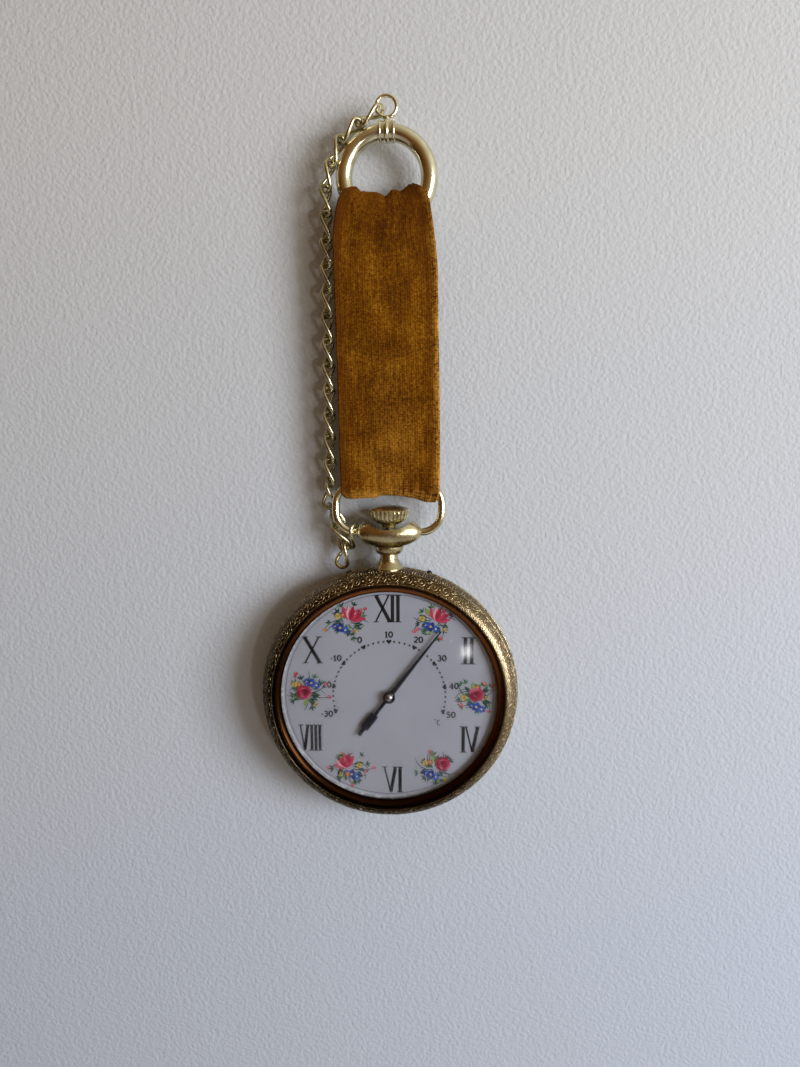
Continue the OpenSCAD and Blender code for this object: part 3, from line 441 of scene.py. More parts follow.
def make_room():
    """A plastered wall behind the object, a floor far below it and light from the right."""
    side, front, back, top = 1500, -1800, 10, 900
    wall = mesh_piece("wall", [(-side, back, top), (-side, back, FLOOR_Z), (side, back, FLOOR_Z),
                               (side, back, top)], [(0, 1, 2, 3)], wall_paint())
    floor_paint = surface("pale_floor_paint", Base_Color=srgb("#c4c2bf"), Roughness=0.9)[0]
    floor = mesh_piece("floor", [(-side, front, FLOOR_Z), (side, front, FLOOR_Z),
                                 (side, back, FLOOR_Z), (-side, back, FLOOR_Z)],
                       [(0, 1, 2, 3)], floor_paint)
    world = bpy.data.worlds.new("room")
    bpy.context.scene.world = world
    world.use_nodes = True
    tree = world.node_tree
    # A room that is dark at the lower left and bright towards its windows at the upper right
    ray = add(tree, "ShaderNodeTexCoord").outputs["Generated"]
    bright = add(tree, "ShaderNodeVectorMath", {0: ray, 1: (0.72, 0.1, 0.42)},
                 operation="DOT_PRODUCT")
    lit = add(tree, "ShaderNodeMapRange", {"Value": bright, "From Min": -0.85, "From Max": 0.85})
    glow = add(tree, "ShaderNodeValToRGB", {"Fac": lit},
               [(0.0, "#2e1a0c"), (0.4, "#7d5528"), (0.62, "#9a8a6e"), (1.0, "#efe9dc")])
    # The one who takes the picture stands dark in front, and shows in the polished metal
    someone = add(tree, "ShaderNodeVectorMath", {0: ray, 1: (0.05, -0.964, -0.26)},
                  operation="DOT_PRODUCT")
    shape = add(tree, "ShaderNodeMapRange", {"Value": someone, "From Min": 0.9, "From Max": 0.96,
                                             "To Max": 0.55}, interpolation_type="SMOOTHSTEP")
    room = add(tree, "ShaderNodeMix", {0: shape, 6: glow, 7: srgb("#2a241d")}, data_type="RGBA")
    # The camera sees a plain pale backdrop past the wall's edges
    seen = add(tree, "ShaderNodeLightPath").outputs["Is Camera Ray"]
    shown = add(tree, "ShaderNodeMix", {0: seen, 6: room, 7: srgb("#c6c6c5")}, data_type="RGBA")
    feed(tree.nodes["Background"], {"Color": shown, "Strength": 1.0})
    area_light("window", (0.97, -0.78, -0.06), (0, 0, -0.13), 0.6, 19.0, "#e9f1ff")
    # The small far window whose image lies on the glass, beside the figure two
    area_light("far_window", (0.427, -0.923, -0.277), (0.03, -0.009, -0.197), 0.062, 0.9,
               "#ffffff")


# Velvet strap

STRAP_W, STRAP_T = 37.6, 1.4
# Height of the gathered velvet over the ring's inner line, across the strap
GATHER = ((-1, 0.2), (-0.77, 1.4), (-0.61, 2.95), (-0.47, 3.9), (-0.35, 4.7), (-0.23, 5.1),
          (-0.12, 4.9), (0, 4.0), (0.09, 5.1), (0.2, 6.1), (0.31, 5.6), (0.43, 4.3),
          (0.56, 4.2), (0.72, 3.9), (0.92, 2.1), (1, 1.0))
# Its hang under the bow's bar, across the strap
HANG = ((-1, 4.3), (-0.92, 4.5), (-0.84, 4.7), (-0.6, 4.4), (-0.36, 4.35), (-0.28, 3.85),
        (-0.18, 3.3), (0.08, 3.35), (0.28, 3.7), (0.44, 4.2), (0.56, 4.6), (0.68, 5.4),
        (0.78, 5.9), (1, 5.9))
SLACK, SIDE_GAP, TUCK, FLARE_L = 0.35, 0.2, 1.2, 4.0
WRAP_R = TUBE_R + SLACK + STRAP_T / 2
FOLD_R = BOW_WIRE / 2 + SLACK + STRAP_T / 2
WRAP_SPREAD = 72


def clamp(value):
    return min(1.0, max(0.0, value))


def band(value, middle, width):
    """A soft band: 1 at its middle, and fading to both sides."""
    return math.exp(-((value - middle) / width) ** 2)


def along(table, v):
    """Value of a table at a share across the strap, eased between its rows."""
    for (v0, a), (v1, b) in zip(table, table[1:]):
        if v <= v1:
            t = clamp((v - v0) / (v1 - v0))
            return a + (b - a) * t * t * (3 - 2 * t)
    return table[-1][1]


def over_ring(v, th):
    """Middle of the velvet and its outward direction where it wraps the ring's tube."""
    g = math.radians(WRAP_SPREAD * v)
    c, s = math.cos(th), math.sin(th)
    # Two bunches, which the middle fold parts with a narrow notch
    lift = along(GATHER, v) * max(0.0, -c) ** 1.5
    r = RING_R + WRAP_R * c
    point = Vector((r * math.sin(g), WRAP_R * s, RING_Z - r * math.cos(g) + lift))
    return point, Vector((c * math.sin(g), s, -c * math.cos(g)))


def under_bar(v, a):
    """The same under the bow's bar, from the back at 0 to the front at pi."""
    x = v * (STRAP_W / 2 - SIDE_GAP - TUCK * math.sin(a) ** 2)
    droop = BOW_TOP_R - math.sqrt(BOW_TOP_R ** 2 - max(0.0, abs(x) - BOW_TOP_X) ** 2)
    z = BAR_Z - droop - (along(HANG, v) - droop) * math.sin(a)
    return Vector((x, FOLD_R * math.cos(a), z)), Vector((0, math.cos(a), -math.sin(a)))


def on_layer(v, s, side):
    """The same on the front (side -1) or back layer, at a share s of the way up from the bar."""
    low = under_bar(v, math.pi if side < 0 else 0.0)[0]
    high = over_ring(v, side * math.pi / 2)[0]
    y, z = low.y + (high.y - low.y) * s, low.z + (high.z - low.z) * s
    below = high.z - z
    # The velvet is drawn in below the ring, more on the right
    if v > 0:
        drawn = 3.6 * max(0.0, 1 - below / 30) ** 1.6
    else:
        drawn = 3.2 * max(0.0, 1 - below / 20) ** 2
    spread = v * (STRAP_W / 2 - SIDE_GAP * (1 - min(1.0, 8 * s)) - drawn)
    flare = max(0.0, 1 - below / FLARE_L) ** 2
    x = spread * (1 - flare) + high.x * flare
    gather = 0.55 * (1 - math.cos(math.radians(540 * v))) / 2 * s ** 3 * (1 - s ** 12)
    pleats = (0.55 * math.cos(2 * math.pi * 1.9 * (v - 0.05)) * math.exp(-below / 11)
              * min(1.0, below / 5))
    sway = 0.3 * math.sin(z / 17 + 2.2 * v) * math.sin(math.pi * s)
    return Vector((x, y + side * (gather + pleats + sway), z)), Vector((0, side, 0))


def hem_shift(z):
    """How far the strap's middle lies to the right at a height: it hangs a little askew."""
    share = clamp((-z - 34) / 100)
    return -0.6 + 1.3 * share * share * (3 - 2 * share)


def cloth_section(cols=56, edge=6):
    """Outline of the cloth's cut: a share across the strap and a side of its middle."""
    rim = STRAP_T / STRAP_W
    half = [(-(1 - rim) + 2 * (1 - rim) * i / cols, 1.0) for i in range(cols + 1)]
    half += [((1 - rim) + rim * math.sin(math.pi * k / edge), math.cos(math.pi * k / edge))
             for k in range(1, edge)]
    return half + [(-v, -t) for v, t in half]


def age(mesh, points, section):
    """Marks where the velvet is worn pale, and where it is darker: its unworn deep colour, and
    painted shade over its upper part.
    """
    wear = mesh.attributes.new("wear", "FLOAT", "POINT")
    unworn_and_painted_shade = mesh.attributes.new("unworn_and_painted_shade", "FLOAT", "POINT")
    for index, point in enumerate(points):
        v = section[index % len(section)][0]
        down = clamp((-point.z - 30) / 105)
        hem = clamp((-point.z - 135) / 4)
        right = band(v, 0.97, 0.07) * (0.6 + 0.4 * down)
        left = 0.35 * max(0.0, (-v - 0.95) / 0.05)
        middle = 0.2 * band(v, 0.05, 0.5) * max(0.0, (down - 0.45) / 0.55)
        wear.data[index].value = min(1.0, right + left + middle + 0.8 * hem)
        beside = 0.55 * band(v, 0.8, 0.07) * (1 - 0.75 * down)
        edge = 0.6 * band(v, -0.93, 0.1)
        # The upper part is darker, partly as painted shade for the less light there and partly as
        # unworn pile
        top = 0.3 * (1 - min(1.0, down / 0.35))
        unworn_and_painted_shade.data[index].value = min(1.0, beside + edge + top)


def strap_piece(name, rows, seam):
    """A closed slab of velvet through rows of middles and normals, each row a function of v.

    The cloth's lengths start from its first row, or from its last one where seam is 1.
    """
    section = cloth_section()
    count = len(section)
    points, lengths, run, before = [], [], 0.0, None
    for row in rows:
        middle = row(0.0)[0]
        run += (middle - before).length if before else 0.0
        before = middle
        lengths.append(run)
        for v, t in section:
            point, normal = row(v)
            # The side edges are rolled a little thicker
            roll = 1 + 0.22 * band(abs(v), 1, 0.05)
            point = point + normal.normalized() * t * STRAP_T / 2 * roll
            point.x += hem_shift(point.z)
            points.append(point)
    piece = mesh_piece(name, points, tube_faces(len(rows), count), VELVET)
    mesh = piece.data
    outward(mesh)
    age(mesh, points, section)
    for polygon in mesh.polygons:
        polygon.use_smooth = len(polygon.vertices) == 4
    cloth = mesh.uv_layers.new(name="cloth")
    for loop in mesh.loops:
        j, i = divmod(loop.vertex_index, count)
        cloth.data[loop.index].uv = (section[i][0] * STRAP_W / 2 * MM,
                                     (lengths[j] - seam * run) * MM)
    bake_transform(piece)
    return piece, run


def make_strap():
    def up(n, first, last, side):
        shares = [first + (last - first) * (k / n) for k in range(n + 1)]
        return [lambda v, s=s: on_layer(v, s, side) for s in shares]
    turns = [-math.pi / 2 - math.pi * k / 26 for k in range(1, 26)]
    over = [lambda v, th=th: over_ring(v, th) for th in turns]
    under = [lambda v, a=math.pi * k / 22: under_bar(v, a) for k in range(1, 22)]
    upper, upper_l = strap_piece(
        "velvet_strap_upper", up(60, 0.5, 1.0, -1) + over + up(60, 1.0, 0.5, 1), 0)
    lower, lower_l = strap_piece(
        "velvet_strap_lower", up(46, 0.5, 0.0, 1) + under + up(46, 0.0, 0.5, -1), 1)
    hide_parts("velvet_strap")
    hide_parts("velvet_strap")


# Curb chain

LINK_L, LINK_W, LINK_WIRE, LINK_TWIST = 12.2, 6.5, 1.5, -125.0
# Where the links hook into each other from the eye round the ring, then straight down
HOOKS = [(-1.85, -0.05, -0.7), (-10.2, -0.95, -5.9), (-16.1, -0.35, -10.8),
         (-20.15, -0.6, -19.25), (-22.1, 0, -27.2)]
LAST_HOOK = (-22.4, 2.2, -134.0)
RING_ROLLS, STRAIGHT_ROLL, STRAIGHT_LINKS = (-79, -83, -84, -80, -88), -90, 12
# Links round the bow's corner: the middle from the corner, two leans and a roll
BOW_LINKS = [((-2.98, 3.52, 13.7), 2.8, -15.8, -57.8), ((-0.81, 3.89, 5.62), -26.3, 19.4, -35.8),
             ((1.32, 1.44, -2.05), -25.8, -1.7, -68.7), ((2.55, 2.51, -9.08), 15.1, -1.8, -61.6),
             ((5.43, 1.07, -1.91), 17.8, -25.2, -58.8)]


def wire_ring(centre, ahead, across, wire, sides):
    """Points round a wire, from its middle, its direction and a direction across it."""
    b = ahead.cross(across).normalized()
    m = b.cross(ahead)
    turns = [2 * math.pi * i / sides for i in range(sides)]
    return [centre + wire / 2 * (math.cos(w) * m + math.sin(w) * b) for w in turns]


def curb_link():
    """One link: a long loop of round wire, twisted by over a third of a turn."""
    end_r = (LINK_W - LINK_WIRE) / 2
    side_l = LINK_L - LINK_WIRE - 2 * end_r
    path = []
    for side in (1, -1):
        for j in range(21):
            a = math.radians(9 * j)
            path.append((side * end_r * math.cos(a), side * (side_l / 2 + end_r * math.sin(a))))
        path += [(-side * end_r, side * side_l * (0.5 - j / 11)) for j in range(1, 11)]
    centre, across = [], []
    for x, y in path:
        a = math.radians(LINK_TWIST) * y / (LINK_L - LINK_WIRE)
        centre.append(Vector((x * math.cos(a), x * math.sin(a), y)))
        across.append(Vector((-math.sin(a), math.cos(a), 0)))
    points, faces, sides = [], [], 12
    for k, c in enumerate(centre):
        n = (k + 1) % len(centre)
        points += wire_ring(c, (centre[n] - centre[k - 1]).normalized(), across[k], LINK_WIRE,
                            sides)
        for i in range(sides):
            j = (i + 1) % sides
            faces.append((k * sides + i, n * sides + i, n * sides + j, k * sides + j))
    link = mesh_piece("curb_link", points, faces, CHAIN_GOLD)
    outward(link.data)
    return link


def link_turn(tip_x, tip_y, roll):
    """Turn of a link whose top leans by two angles and that is rolled about its length."""
    a = Vector((math.tan(math.radians(tip_x)), math.tan(math.radians(tip_y)), 1)).normalized()
    y = (Vector((0, 1, 0)) - a * a.y).normalized()
    x = y.cross(a)
    c, s = math.cos(math.radians(roll)), math.sin(math.radians(roll))
    return Matrix((c * x + s * y, c * y - s * x, a)).transposed().to_euler()


def copies_on_points():
    """Tree that sets a copy of a piece on each point, turned by the point's own turn."""
    tree = bpy.data.node_groups.new("copies_on_points", "GeometryNodeTree")
    socket = tree.interface.new_socket
    socket("Geometry", in_out="INPUT", socket_type="NodeSocketGeometry")
    socket("Piece", in_out="INPUT", socket_type="NodeSocketObject")
    size = socket("Size", in_out="INPUT", socket_type="NodeSocketFloat")
    size.default_value = 1.0
    socket("Material", in_out="INPUT", socket_type="NodeSocketMaterial")
    socket("Geometry", in_out="OUTPUT", socket_type="NodeSocketGeometry")
    given = add(tree, "NodeGroupInput").outputs
    model = add(tree, "GeometryNodeObjectInfo", {"Object": given["Piece"]})
    turn = add(tree, "GeometryNodeInputNamedAttribute", {"Name": "turn"},
               data_type="FLOAT_VECTOR")
    copies = add(tree, "GeometryNodeInstanceOnPoints", {
        "Points": given["Geometry"], "Instance": model.outputs["Geometry"],
        "Rotation": turn, "Scale": given["Size"]})
    real = add(tree, "GeometryNodeRealizeInstances", {"Geometry": copies})
    painted = add(tree, "GeometryNodeSetMaterial",
                  {"Geometry": real, "Material": given["Material"]})
    add(tree, "NodeGroupOutput", {"Geometry": painted})
    return tree


COPIES = copies_on_points()


def spread(name, model, places, material, body, size=1.0):
    """Copies of a model at places with turns, as one plain mesh, on a body if one is given."""
    seeds = mesh_piece(name + "_places", [p for p, _ in places], [], material)
    turn = seeds.data.attributes.new("turn", "FLOAT_VECTOR", "POINT")
    for index, (_, euler) in enumerate(places):
        turn.data[index].vector = euler
    modifier = seeds.modifiers.new("Copies", "NODES")
    modifier.node_group = COPIES
    sockets = {s.name: s.identifier for s in COPIES.interface.items_tree if s.in_out == "INPUT"}
    modifier[sockets["Piece"]] = model
    modifier[sockets["Size"]] = size
    modifier[sockets["Material"]] = material
    seen = seeds.evaluated_get(bpy.context.evaluated_depsgraph_get())
    made = bpy.data.meshes.new_from_object(seen)
    made.name = name
    made.shade_smooth()
    bpy.data.objects.remove(seeds)
    piece = bpy.data.objects.new(name, made)
    bpy.context.scene.collection.objects.link(piece)
    if body:
        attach(piece, body)
    return piece


def make_chain():
    link = curb_link()
    hooks = [Vector(h) for h in HOOKS]
    for k in range(1, STRAIGHT_LINKS + 1):
        hooks.append(Vector(HOOKS[-1]).lerp(Vector(LAST_HOOK), k / STRAIGHT_LINKS))
    places = []
    for k, (upper, lower) in enumerate(zip(hooks, hooks[1:])):
        run = upper - lower
        roll = RING_ROLLS[k] if k < len(RING_ROLLS) else STRAIGHT_ROLL
        leans = [math.degrees(math.atan(part / run.z)) for part in (run.x, run.y)]
        places.append(((upper + lower) / 2, link_turn(*leans, roll)))
    corner = Vector((-BOW_W / 2, 0, BOW_Z))
    ends = [(corner + Vector(p), link_turn(tx, ty, roll)) for p, tx, ty, roll in BOW_LINKS]
    ring = len(RING_ROLLS)
    half = ring + STRAIGHT_LINKS // 2
    for name, node, body, part in (("chain_top", "chain_top", "hanger", places[:ring]),
                                   ("chain_side_upper", "chain_side", None, places[ring:half]),
                                   ("chain_side_lower", "chain_side", None, places[half:]),
                                   ("chain_end", "chain_end", "bow", ends)):
        piece = spread(name + "_links", link, part, CHAIN_GOLD, body)
        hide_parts(node)
        # The straight run's two halves ride on no body and are baked where they stand
        if name == "chain_side_upper":
            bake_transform(piece)
        elif name == "chain_side_lower":
            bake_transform(piece)
    bpy.data.objects.remove(link)


# Bolt spring

SPRING_FROM, SPRING_TO, SPRING_TURNS = 63.2, 138.8, 9
SPRING_R, SPRING_WIRE = 1.55, 0.5


def make_bolt_spring():
    """The coil behind the sliding bolt, in the ring's tube."""
    def middle(share):
        g = math.radians(SPRING_FROM + (SPRING_TO - SPRING_FROM) * share)
        w = 2 * math.pi * SPRING_TURNS * share
        out = RING_R + SPRING_R * math.cos(w)
        return Vector((out * math.cos(g), SPRING_R * math.sin(w), RING_Z + out * math.sin(g)))
    rows, sides, small = 20 * SPRING_TURNS, 8, 0.001
    points = []
    for j in range(rows + 1):
        ahead = (middle(j / rows + small) - middle(j / rows - small)).normalized()
        points += wire_ring(middle(j / rows), ahead, Vector((0, 1, 0)), SPRING_WIRE, sides)
    coil = mesh_piece("bolt_spring_coil", points, tube_faces(rows + 1, sides), SPRING_STEEL)
    outward(coil.data)
    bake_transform(coil)
    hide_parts("bolt_spring")


# Flat paths

def away(x, y, far, a):
    """The place at a distance from (x, y) in a direction."""
    return x + far * math.cos(a), y + far * math.sin(a)


def turned(x, y, turn, spots):
    """Spots turned about (0, 0) and moved to (x, y)."""
    c, s = math.cos(turn), math.sin(turn)
    return [(x + px * c - py * s, y + px * s + py * c) for px, py in spots]


def arc(x, y, rx, ry, first, last, n=10):
    turns = [math.radians(first + (last - first) * k / n) for k in range(n + 1)]
    return [(x + rx * math.cos(a), y + ry * math.sin(a)) for a in turns]


def lefts(path):
    """Unit direction to the left of a path at each of its points."""
    for k in range(len(path)):
        (ax, ay), (bx, by) = path[max(0, k - 1)], path[min(len(path) - 1, k + 1)]
        size = math.hypot(bx - ax, by - ay) or 1.0
        yield -(by - ay) / size, (bx - ax) / size


# Dial print

def on_dial(x, y, h):
    """A point of the case: right, up and towards the viewer from the rim's middle."""
    return (x, -h, CASE_Z + y)


class Print:
    """Shapes of ink on the dial. Print lies in one layer, and paint rises by a step a stroke."""

    def __init__(self):
        self.points, self.faces, self.inks = [], [], []
        self.level, self.step = 0, 0

    def shape(self, outline, code):
        """A thin plate of ink, which stands on the dial."""
        first, count = len(self.points), len(outline)
        top = DIAL_H + 0.04 + 0.0016 * self.level
        self.points += [on_dial(x, y, top) for x, y in outline]
        self.points += [on_dial(x, y, DIAL_H + 0.005) for x, y in outline]
        faces = [tuple(range(first, first + count)),
                 tuple(range(first + 2 * count - 1, first + count - 1, -1))]
        for k in range(first, first + count):
            n = first + (k + 1 - first) % count
            faces.append((k, k + count, n + count, n))
        self.faces += faces
        self.inks += [srgb(code)] * len(faces)

    def stroke(self, path, widths, code):
        """A ribbon along a path, with one width or one for each point."""
        self.level += self.step
        if not isinstance(widths, list):
            widths = [widths] * len(path)
        left, right = [], []
        for (x, y), (nx, ny), width in zip(path, lefts(path), widths):
            w = width / 2
            left.append((x + nx * w, y + ny * w))
            right.append((x - nx * w, y - ny * w))
        for k in range(len(path) - 1):
            self.shape([right[k], right[k + 1], left[k + 1], left[k]], code)

    def blob(self, x, y, rx, ry, turn, code, n=14, wobble=0.0):
        """An oval, or an uneven one."""
        self.level += self.step
        spots = []
        for k in range(n):
            a = 2 * math.pi * k / n
            g = 1 + wobble * math.sin(3 * a + x * 7 + y * 5)
            spots.append((rx * g * math.cos(a), ry * g * math.sin(a)))
        self.shape(turned(x, y, turn, spots), code)

    def leaf(self, x, y, length, width, turn, code, n=9):
        """A pointed petal or leaf that starts at (x, y)."""
        self.level += self.step
        up = [(length * t, width / 2 * math.sin(math.pi * t ** 0.8))
              for t in [k / n for k in range(n + 1)]]
        spots = up + [(px, -py) for px, py in up[-2:0:-1]]
        self.shape(turned(x, y, turn, spots)[::-1], code)


BLACK_INK = "#0a0b12"
NUMERAL_HALF, STROKE_CUT, BOLD, SERIF = 5.2, 0.15, 1.2, 0.33
# Middle of each numeral, its strokes as two places across, a width and 1 where they start at the
# top, and its serifs as two places across and 1 at the top
NUMERALS = {
    "XII": ((-0.3, 34.8), [(-4.55, 0.75, 1.15, 1), (-4.6, 0.35, 0.52, -1), (1.75, 1.75, 1.1, 1),
                           (3.85, 3.85, 1.1, 1)],
            [(-5.6, -3.4, -1), (-0.4, 5.2, -1), (-5.5, -3.2, 1), (-0.7, 5.0, 1)]),
    "II": ((30.5, 18.3), [(-1.15, -1.15, 1.15, 1), (1.3, 1.3, 1.15, 1)],
           [(-2.8, 2.9, 1), (-2.8, 2.9, -1)]),
    "IV": ((31.4, -17.6), [(-2.6, -2.6, 1.1, 1), (-1.5, 0.9, 0.52, 1), (3.0, 0.95, 1.1, 1)],
           [(-4.0, -0.7, 1), (-4.0, -1.2, -1), (1.7, 4.1, 1)]),
    "VI": ((0.9, -34.5), [(-2.9, -0.5, 0.52, 1), (1.4, -0.45, 1.1, 1), (3.2, 3.2, 1.1, 1)],
           [(-4.1, -1.8, 1), (0.2, 4.4, 1), (2.0, 4.4, -1)]),
    "VIII": ((-30.9, -17.4), [(-4.0, -2.5, 0.52, 1), (-1.15, -2.4, 0.95, 1), (0.4, 0.4, 0.9, 1),
                              (2.0, 2.0, 0.9, 1), (3.6, 3.6, 0.9, 1)],
             [(-4.8, -2.9, 1), (-2.3, 4.6, 1), (-1.0, 4.6, -1)]),
    "X": ((-29.5, 18.3), [(-3.0, 2.8, 1.15, 1), (-2.9, 2.5, 0.52, -1)],
          [(-4.1, -1.7, 1), (1.3, 3.7, 1), (-4.0, -1.8, -1), (1.5, 4.0, -1)])}

# Strokes of the small figures in a box one high, each a path and its width
FIGURES = {
    "0": (0.78, [(arc(0.37, 0.5, 0.27, 0.42, 90, 450, 18), 0.19)]),
    "1": (0.56, [([(0.28, 0.04), (0.28, 0.96)], 0.2), ([(0.06, 0.76), (0.28, 0.94)], 0.12),
                 ([(0.06, 0.05), (0.5, 0.05)], 0.11)]),
    "2": (0.74, [(arc(0.36, 0.68, 0.24, 0.24, 170, -35, 9) + [(0.08, 0.08)], 0.17),
                 ([(0.06, 0.08), (0.66, 0.08)], 0.17)]),
    "3": (0.74, [(arc(0.34, 0.73, 0.22, 0.2, 150, -90, 9), 0.16),
                 (arc(0.34, 0.29, 0.25, 0.24, 90, -150, 10), 0.18)]),
    "4": (0.78, [([(0.5, 0.04), (0.5, 0.96)], 0.18), ([(0.5, 0.92), (0.06, 0.32)], 0.09),
                 ([(0.04, 0.3), (0.7, 0.3)], 0.12), ([(0.32, 0.05), (0.68, 0.05)], 0.1)]),
    "5": (0.74, [([(0.14, 0.92), (0.6, 0.92)], 0.16), ([(0.16, 0.92), (0.13, 0.55)], 0.1),
                 (arc(0.34, 0.33, 0.25, 0.26, 130, -150, 11), 0.18)]),
    "-": (0.42, [([(0.04, 0.42), (0.34, 0.42)], 0.14)]),
    "C": (0.7, [(arc(0.4, 0.45, 0.27, 0.42, 50, 310, 12), 0.1)]),
    "*": (0.28, [(arc(0.12, 0.88, 0.1, 0.1, 0, 360, 10), 0.05)])}
FIGURE_H, FIGURE_BOLD, HEART_SIZE = 2.5, 1.18, 0.064
# Degrees Celsius at the dial's top, turn for each, and the radii of the marks and the circle
SCALE_MIDDLE, SCALE_TURN, MARKS_R, CIRCLE_R = 10, 80 / 30, 21.8, 40.4
LABELS = (("10", 0.04, 24.6), ("0", -11.2, 22.4), ("20", 11.4, 22.6), ("-10", -20.4, 15.1),
          ("30", 20.4, 15.3), ("-20", -24.7, 4.4), ("40", 25.1, 4.2), ("-30", -24.3, -7.5),
          ("50", 24.0, -7.5), ("*C", 18.8, -10.6))


def print_numerals(ink):
    for (cx, cy), strokes, serifs in NUMERALS.values():
        for x0, x1, width, down in strokes:
            ink.stroke([(cx + x0, cy + down * (NUMERAL_HALF - STROKE_CUT)),
                        (cx + x1, cy - down * NUMERAL_HALF)], width * BOLD, BLACK_INK)
        for x0, x1, top in serifs:
            y = cy + top * NUMERAL_HALF
            ink.stroke([(cx + x0, y), (cx + x1, y)], SERIF, BLACK_INK)


def write(ink, text, x, y):
    """Writes small figures with their middle at (x, y)."""
    left = x - sum(FIGURES[c][0] for c in text) * FIGURE_H / 2
    for c in text:
        step, strokes = FIGURES[c]
        for path, width in strokes:
            ink.stroke([(left + px * FIGURE_H, y + (py - 0.5) * FIGURE_H) for px, py in path],
                       width * FIGURE_H * FIGURE_BOLD, BLACK_INK)
        left += step * FIGURE_H


def print_scale(ink):
    """Hearts at each ten degrees, dots at each two, their figures and the thin circle."""
    heart = []
    for k in range(20):
        t = 2 * math.pi * k / 20
        up = 13 * math.cos(t) - 5 * math.cos(2 * t) - 2 * math.cos(3 * t) - math.cos(4 * t)
        heart.append((16 * math.sin(t) ** 3 * HEART_SIZE, up * HEART_SIZE))
    for degrees in range(-30, 51, 2):
        a = math.radians((degrees - SCALE_MIDDLE) * SCALE_TURN)
        x, y = MARKS_R * math.sin(a), MARKS_R * math.cos(a)
        if degrees % 10:
            ink.blob(x, y, 0.42, 0.42, 0, BLACK_INK, 10)
        else:
            ink.shape(turned(x, y, -a, heart), BLACK_INK)
    for text, x, y in LABELS:
        write(ink, text, x, y)
    ink.stroke(arc(0, 0, CIRCLE_R, CIRCLE_R, 0, 360, 180), 0.17, "#3a3b42")


ROSE = ("#8d1234", "#ab2b4b", "#c4677f", "#5e0a22")
LILY = ("#a81a3a", "#bd3a5a", "#dfa3ae", "#6e0c24")
GREENS = ("#0f332c", "#1f4f40", "#4a7a4c", "#7f9a4c")
STALKS = ("#1a2a2c", "#2a3a3a", "#404d4b")
BUDS = ("#b02844", "#c4475c", "#c67a3c")
# Place, main flower and where it stands in the posy, a lily's with its turn, where the blue
# and the yellow small flowers stand, and a seed
POSIES = ((-15.9, 29.8, "lily", (1.0, 0.4, 1.1), (-2.8, -2.6), (-3.6, 2.0), 11),
          (17.4, 29.6, "lily", (0.6, 0.6, 1.0), (-1.4, -1.8), (-4.6, 1.4), 12),
          (33.6, 0.4, "rose", (0.2, 0.4), (0.2, -4.6), (-4.6, -0.8), 13),
          (18.2, -30.0, "rose", (2.8, 2.2), (-2.0, -2.2), (-4.2, 2.6), 14),
          (-15.8, -29.8, "lily", (-1.0, 0.2, 2.0), (0.8, -2.6), (3.8, 1.0), 15),
          (-32.4, 1.2, "rose", (-0.8, 0.0), (2.2, 3.8), (-4.4, 3.2), 16))


def rose(ink, x, y, r, rng):
    """A full round rose: outer petals, then smaller ones, then the curled heart."""
    for ring, (count, far, size) in enumerate(((7, 0.62, 0.5), (6, 0.42, 0.42), (4, 0.2, 0.34))):
        for k in range(count):
            a = 2 * math.pi * (k + 0.37 * ring) / count + rng.uniform(-0.15, 0.15)
            shade = ROSE[rng.choice((0, 1, 1, 2)) if ring < 2 else rng.choice((0, 3))]
            ink.blob(*away(x, y, far * r, a), size * r, size * r * 0.72, a + math.pi / 2, shade,
                     12, 0.05)
    for k in range(9):
        curl = arc(x, y, r * (0.12 + 0.1 * k), r * (0.1 + 0.095 * k), 83 * k,
                   83 * k + 130 - 6 * k, 8)
        ink.stroke(curl, [0.05, 0.14, 0.24, 0.3, 0.32, 0.3, 0.24, 0.14, 0.05],
                   ROSE[2] if k % 3 == 2 else ROSE[3])


def lily(ink, x, y, size, turn, rng):
    """An open tulip or lily of long petals, with darker streaks."""
    for k, lean in enumerate((-0.95, 0.95, -0.55, 0.55, -0.2, 0.2)):
        ink.leaf(x, y, size * rng.uniform(0.9, 1.1), size * 0.38, turn + lean,
                 LILY[(1, 1, 0, 2, 1, 0)[k]])
        ink.stroke([away(x, y, size * t, turn + lean * 0.9) for t in (0.2, 0.45, 0.75)],
                   [0.12, 0.34, 0.08], LILY[(3, 2, 3)[k % 3]])


def small_flower(ink, x, y, r, petal, dark, heart):
    for k in range(5):
        a = 2 * math.pi * k / 5 + x
        ink.blob(*away(x, y, 0.55 * r, a), 0.5 * r, 0.42 * r, a, dark if k % 2 else petal, 10)
    ink.blob(x, y, 0.24 * r, 0.24 * r, 0, heart, 8)


def spray(ink, x, y, length, turn, curl, code):
    """A thin curling stalk, and where it ends."""
    path, a = [(x, y)], turn
    for _ in range(9):
        a += curl / 9
        path.append(away(*path[-1], length / 9, a))
    ink.stroke(path, [0.34, 0.34, 0.33, 0.32, 0.3, 0.28, 0.26, 0.24, 0.2, 0.12], code)
    return path[-1]


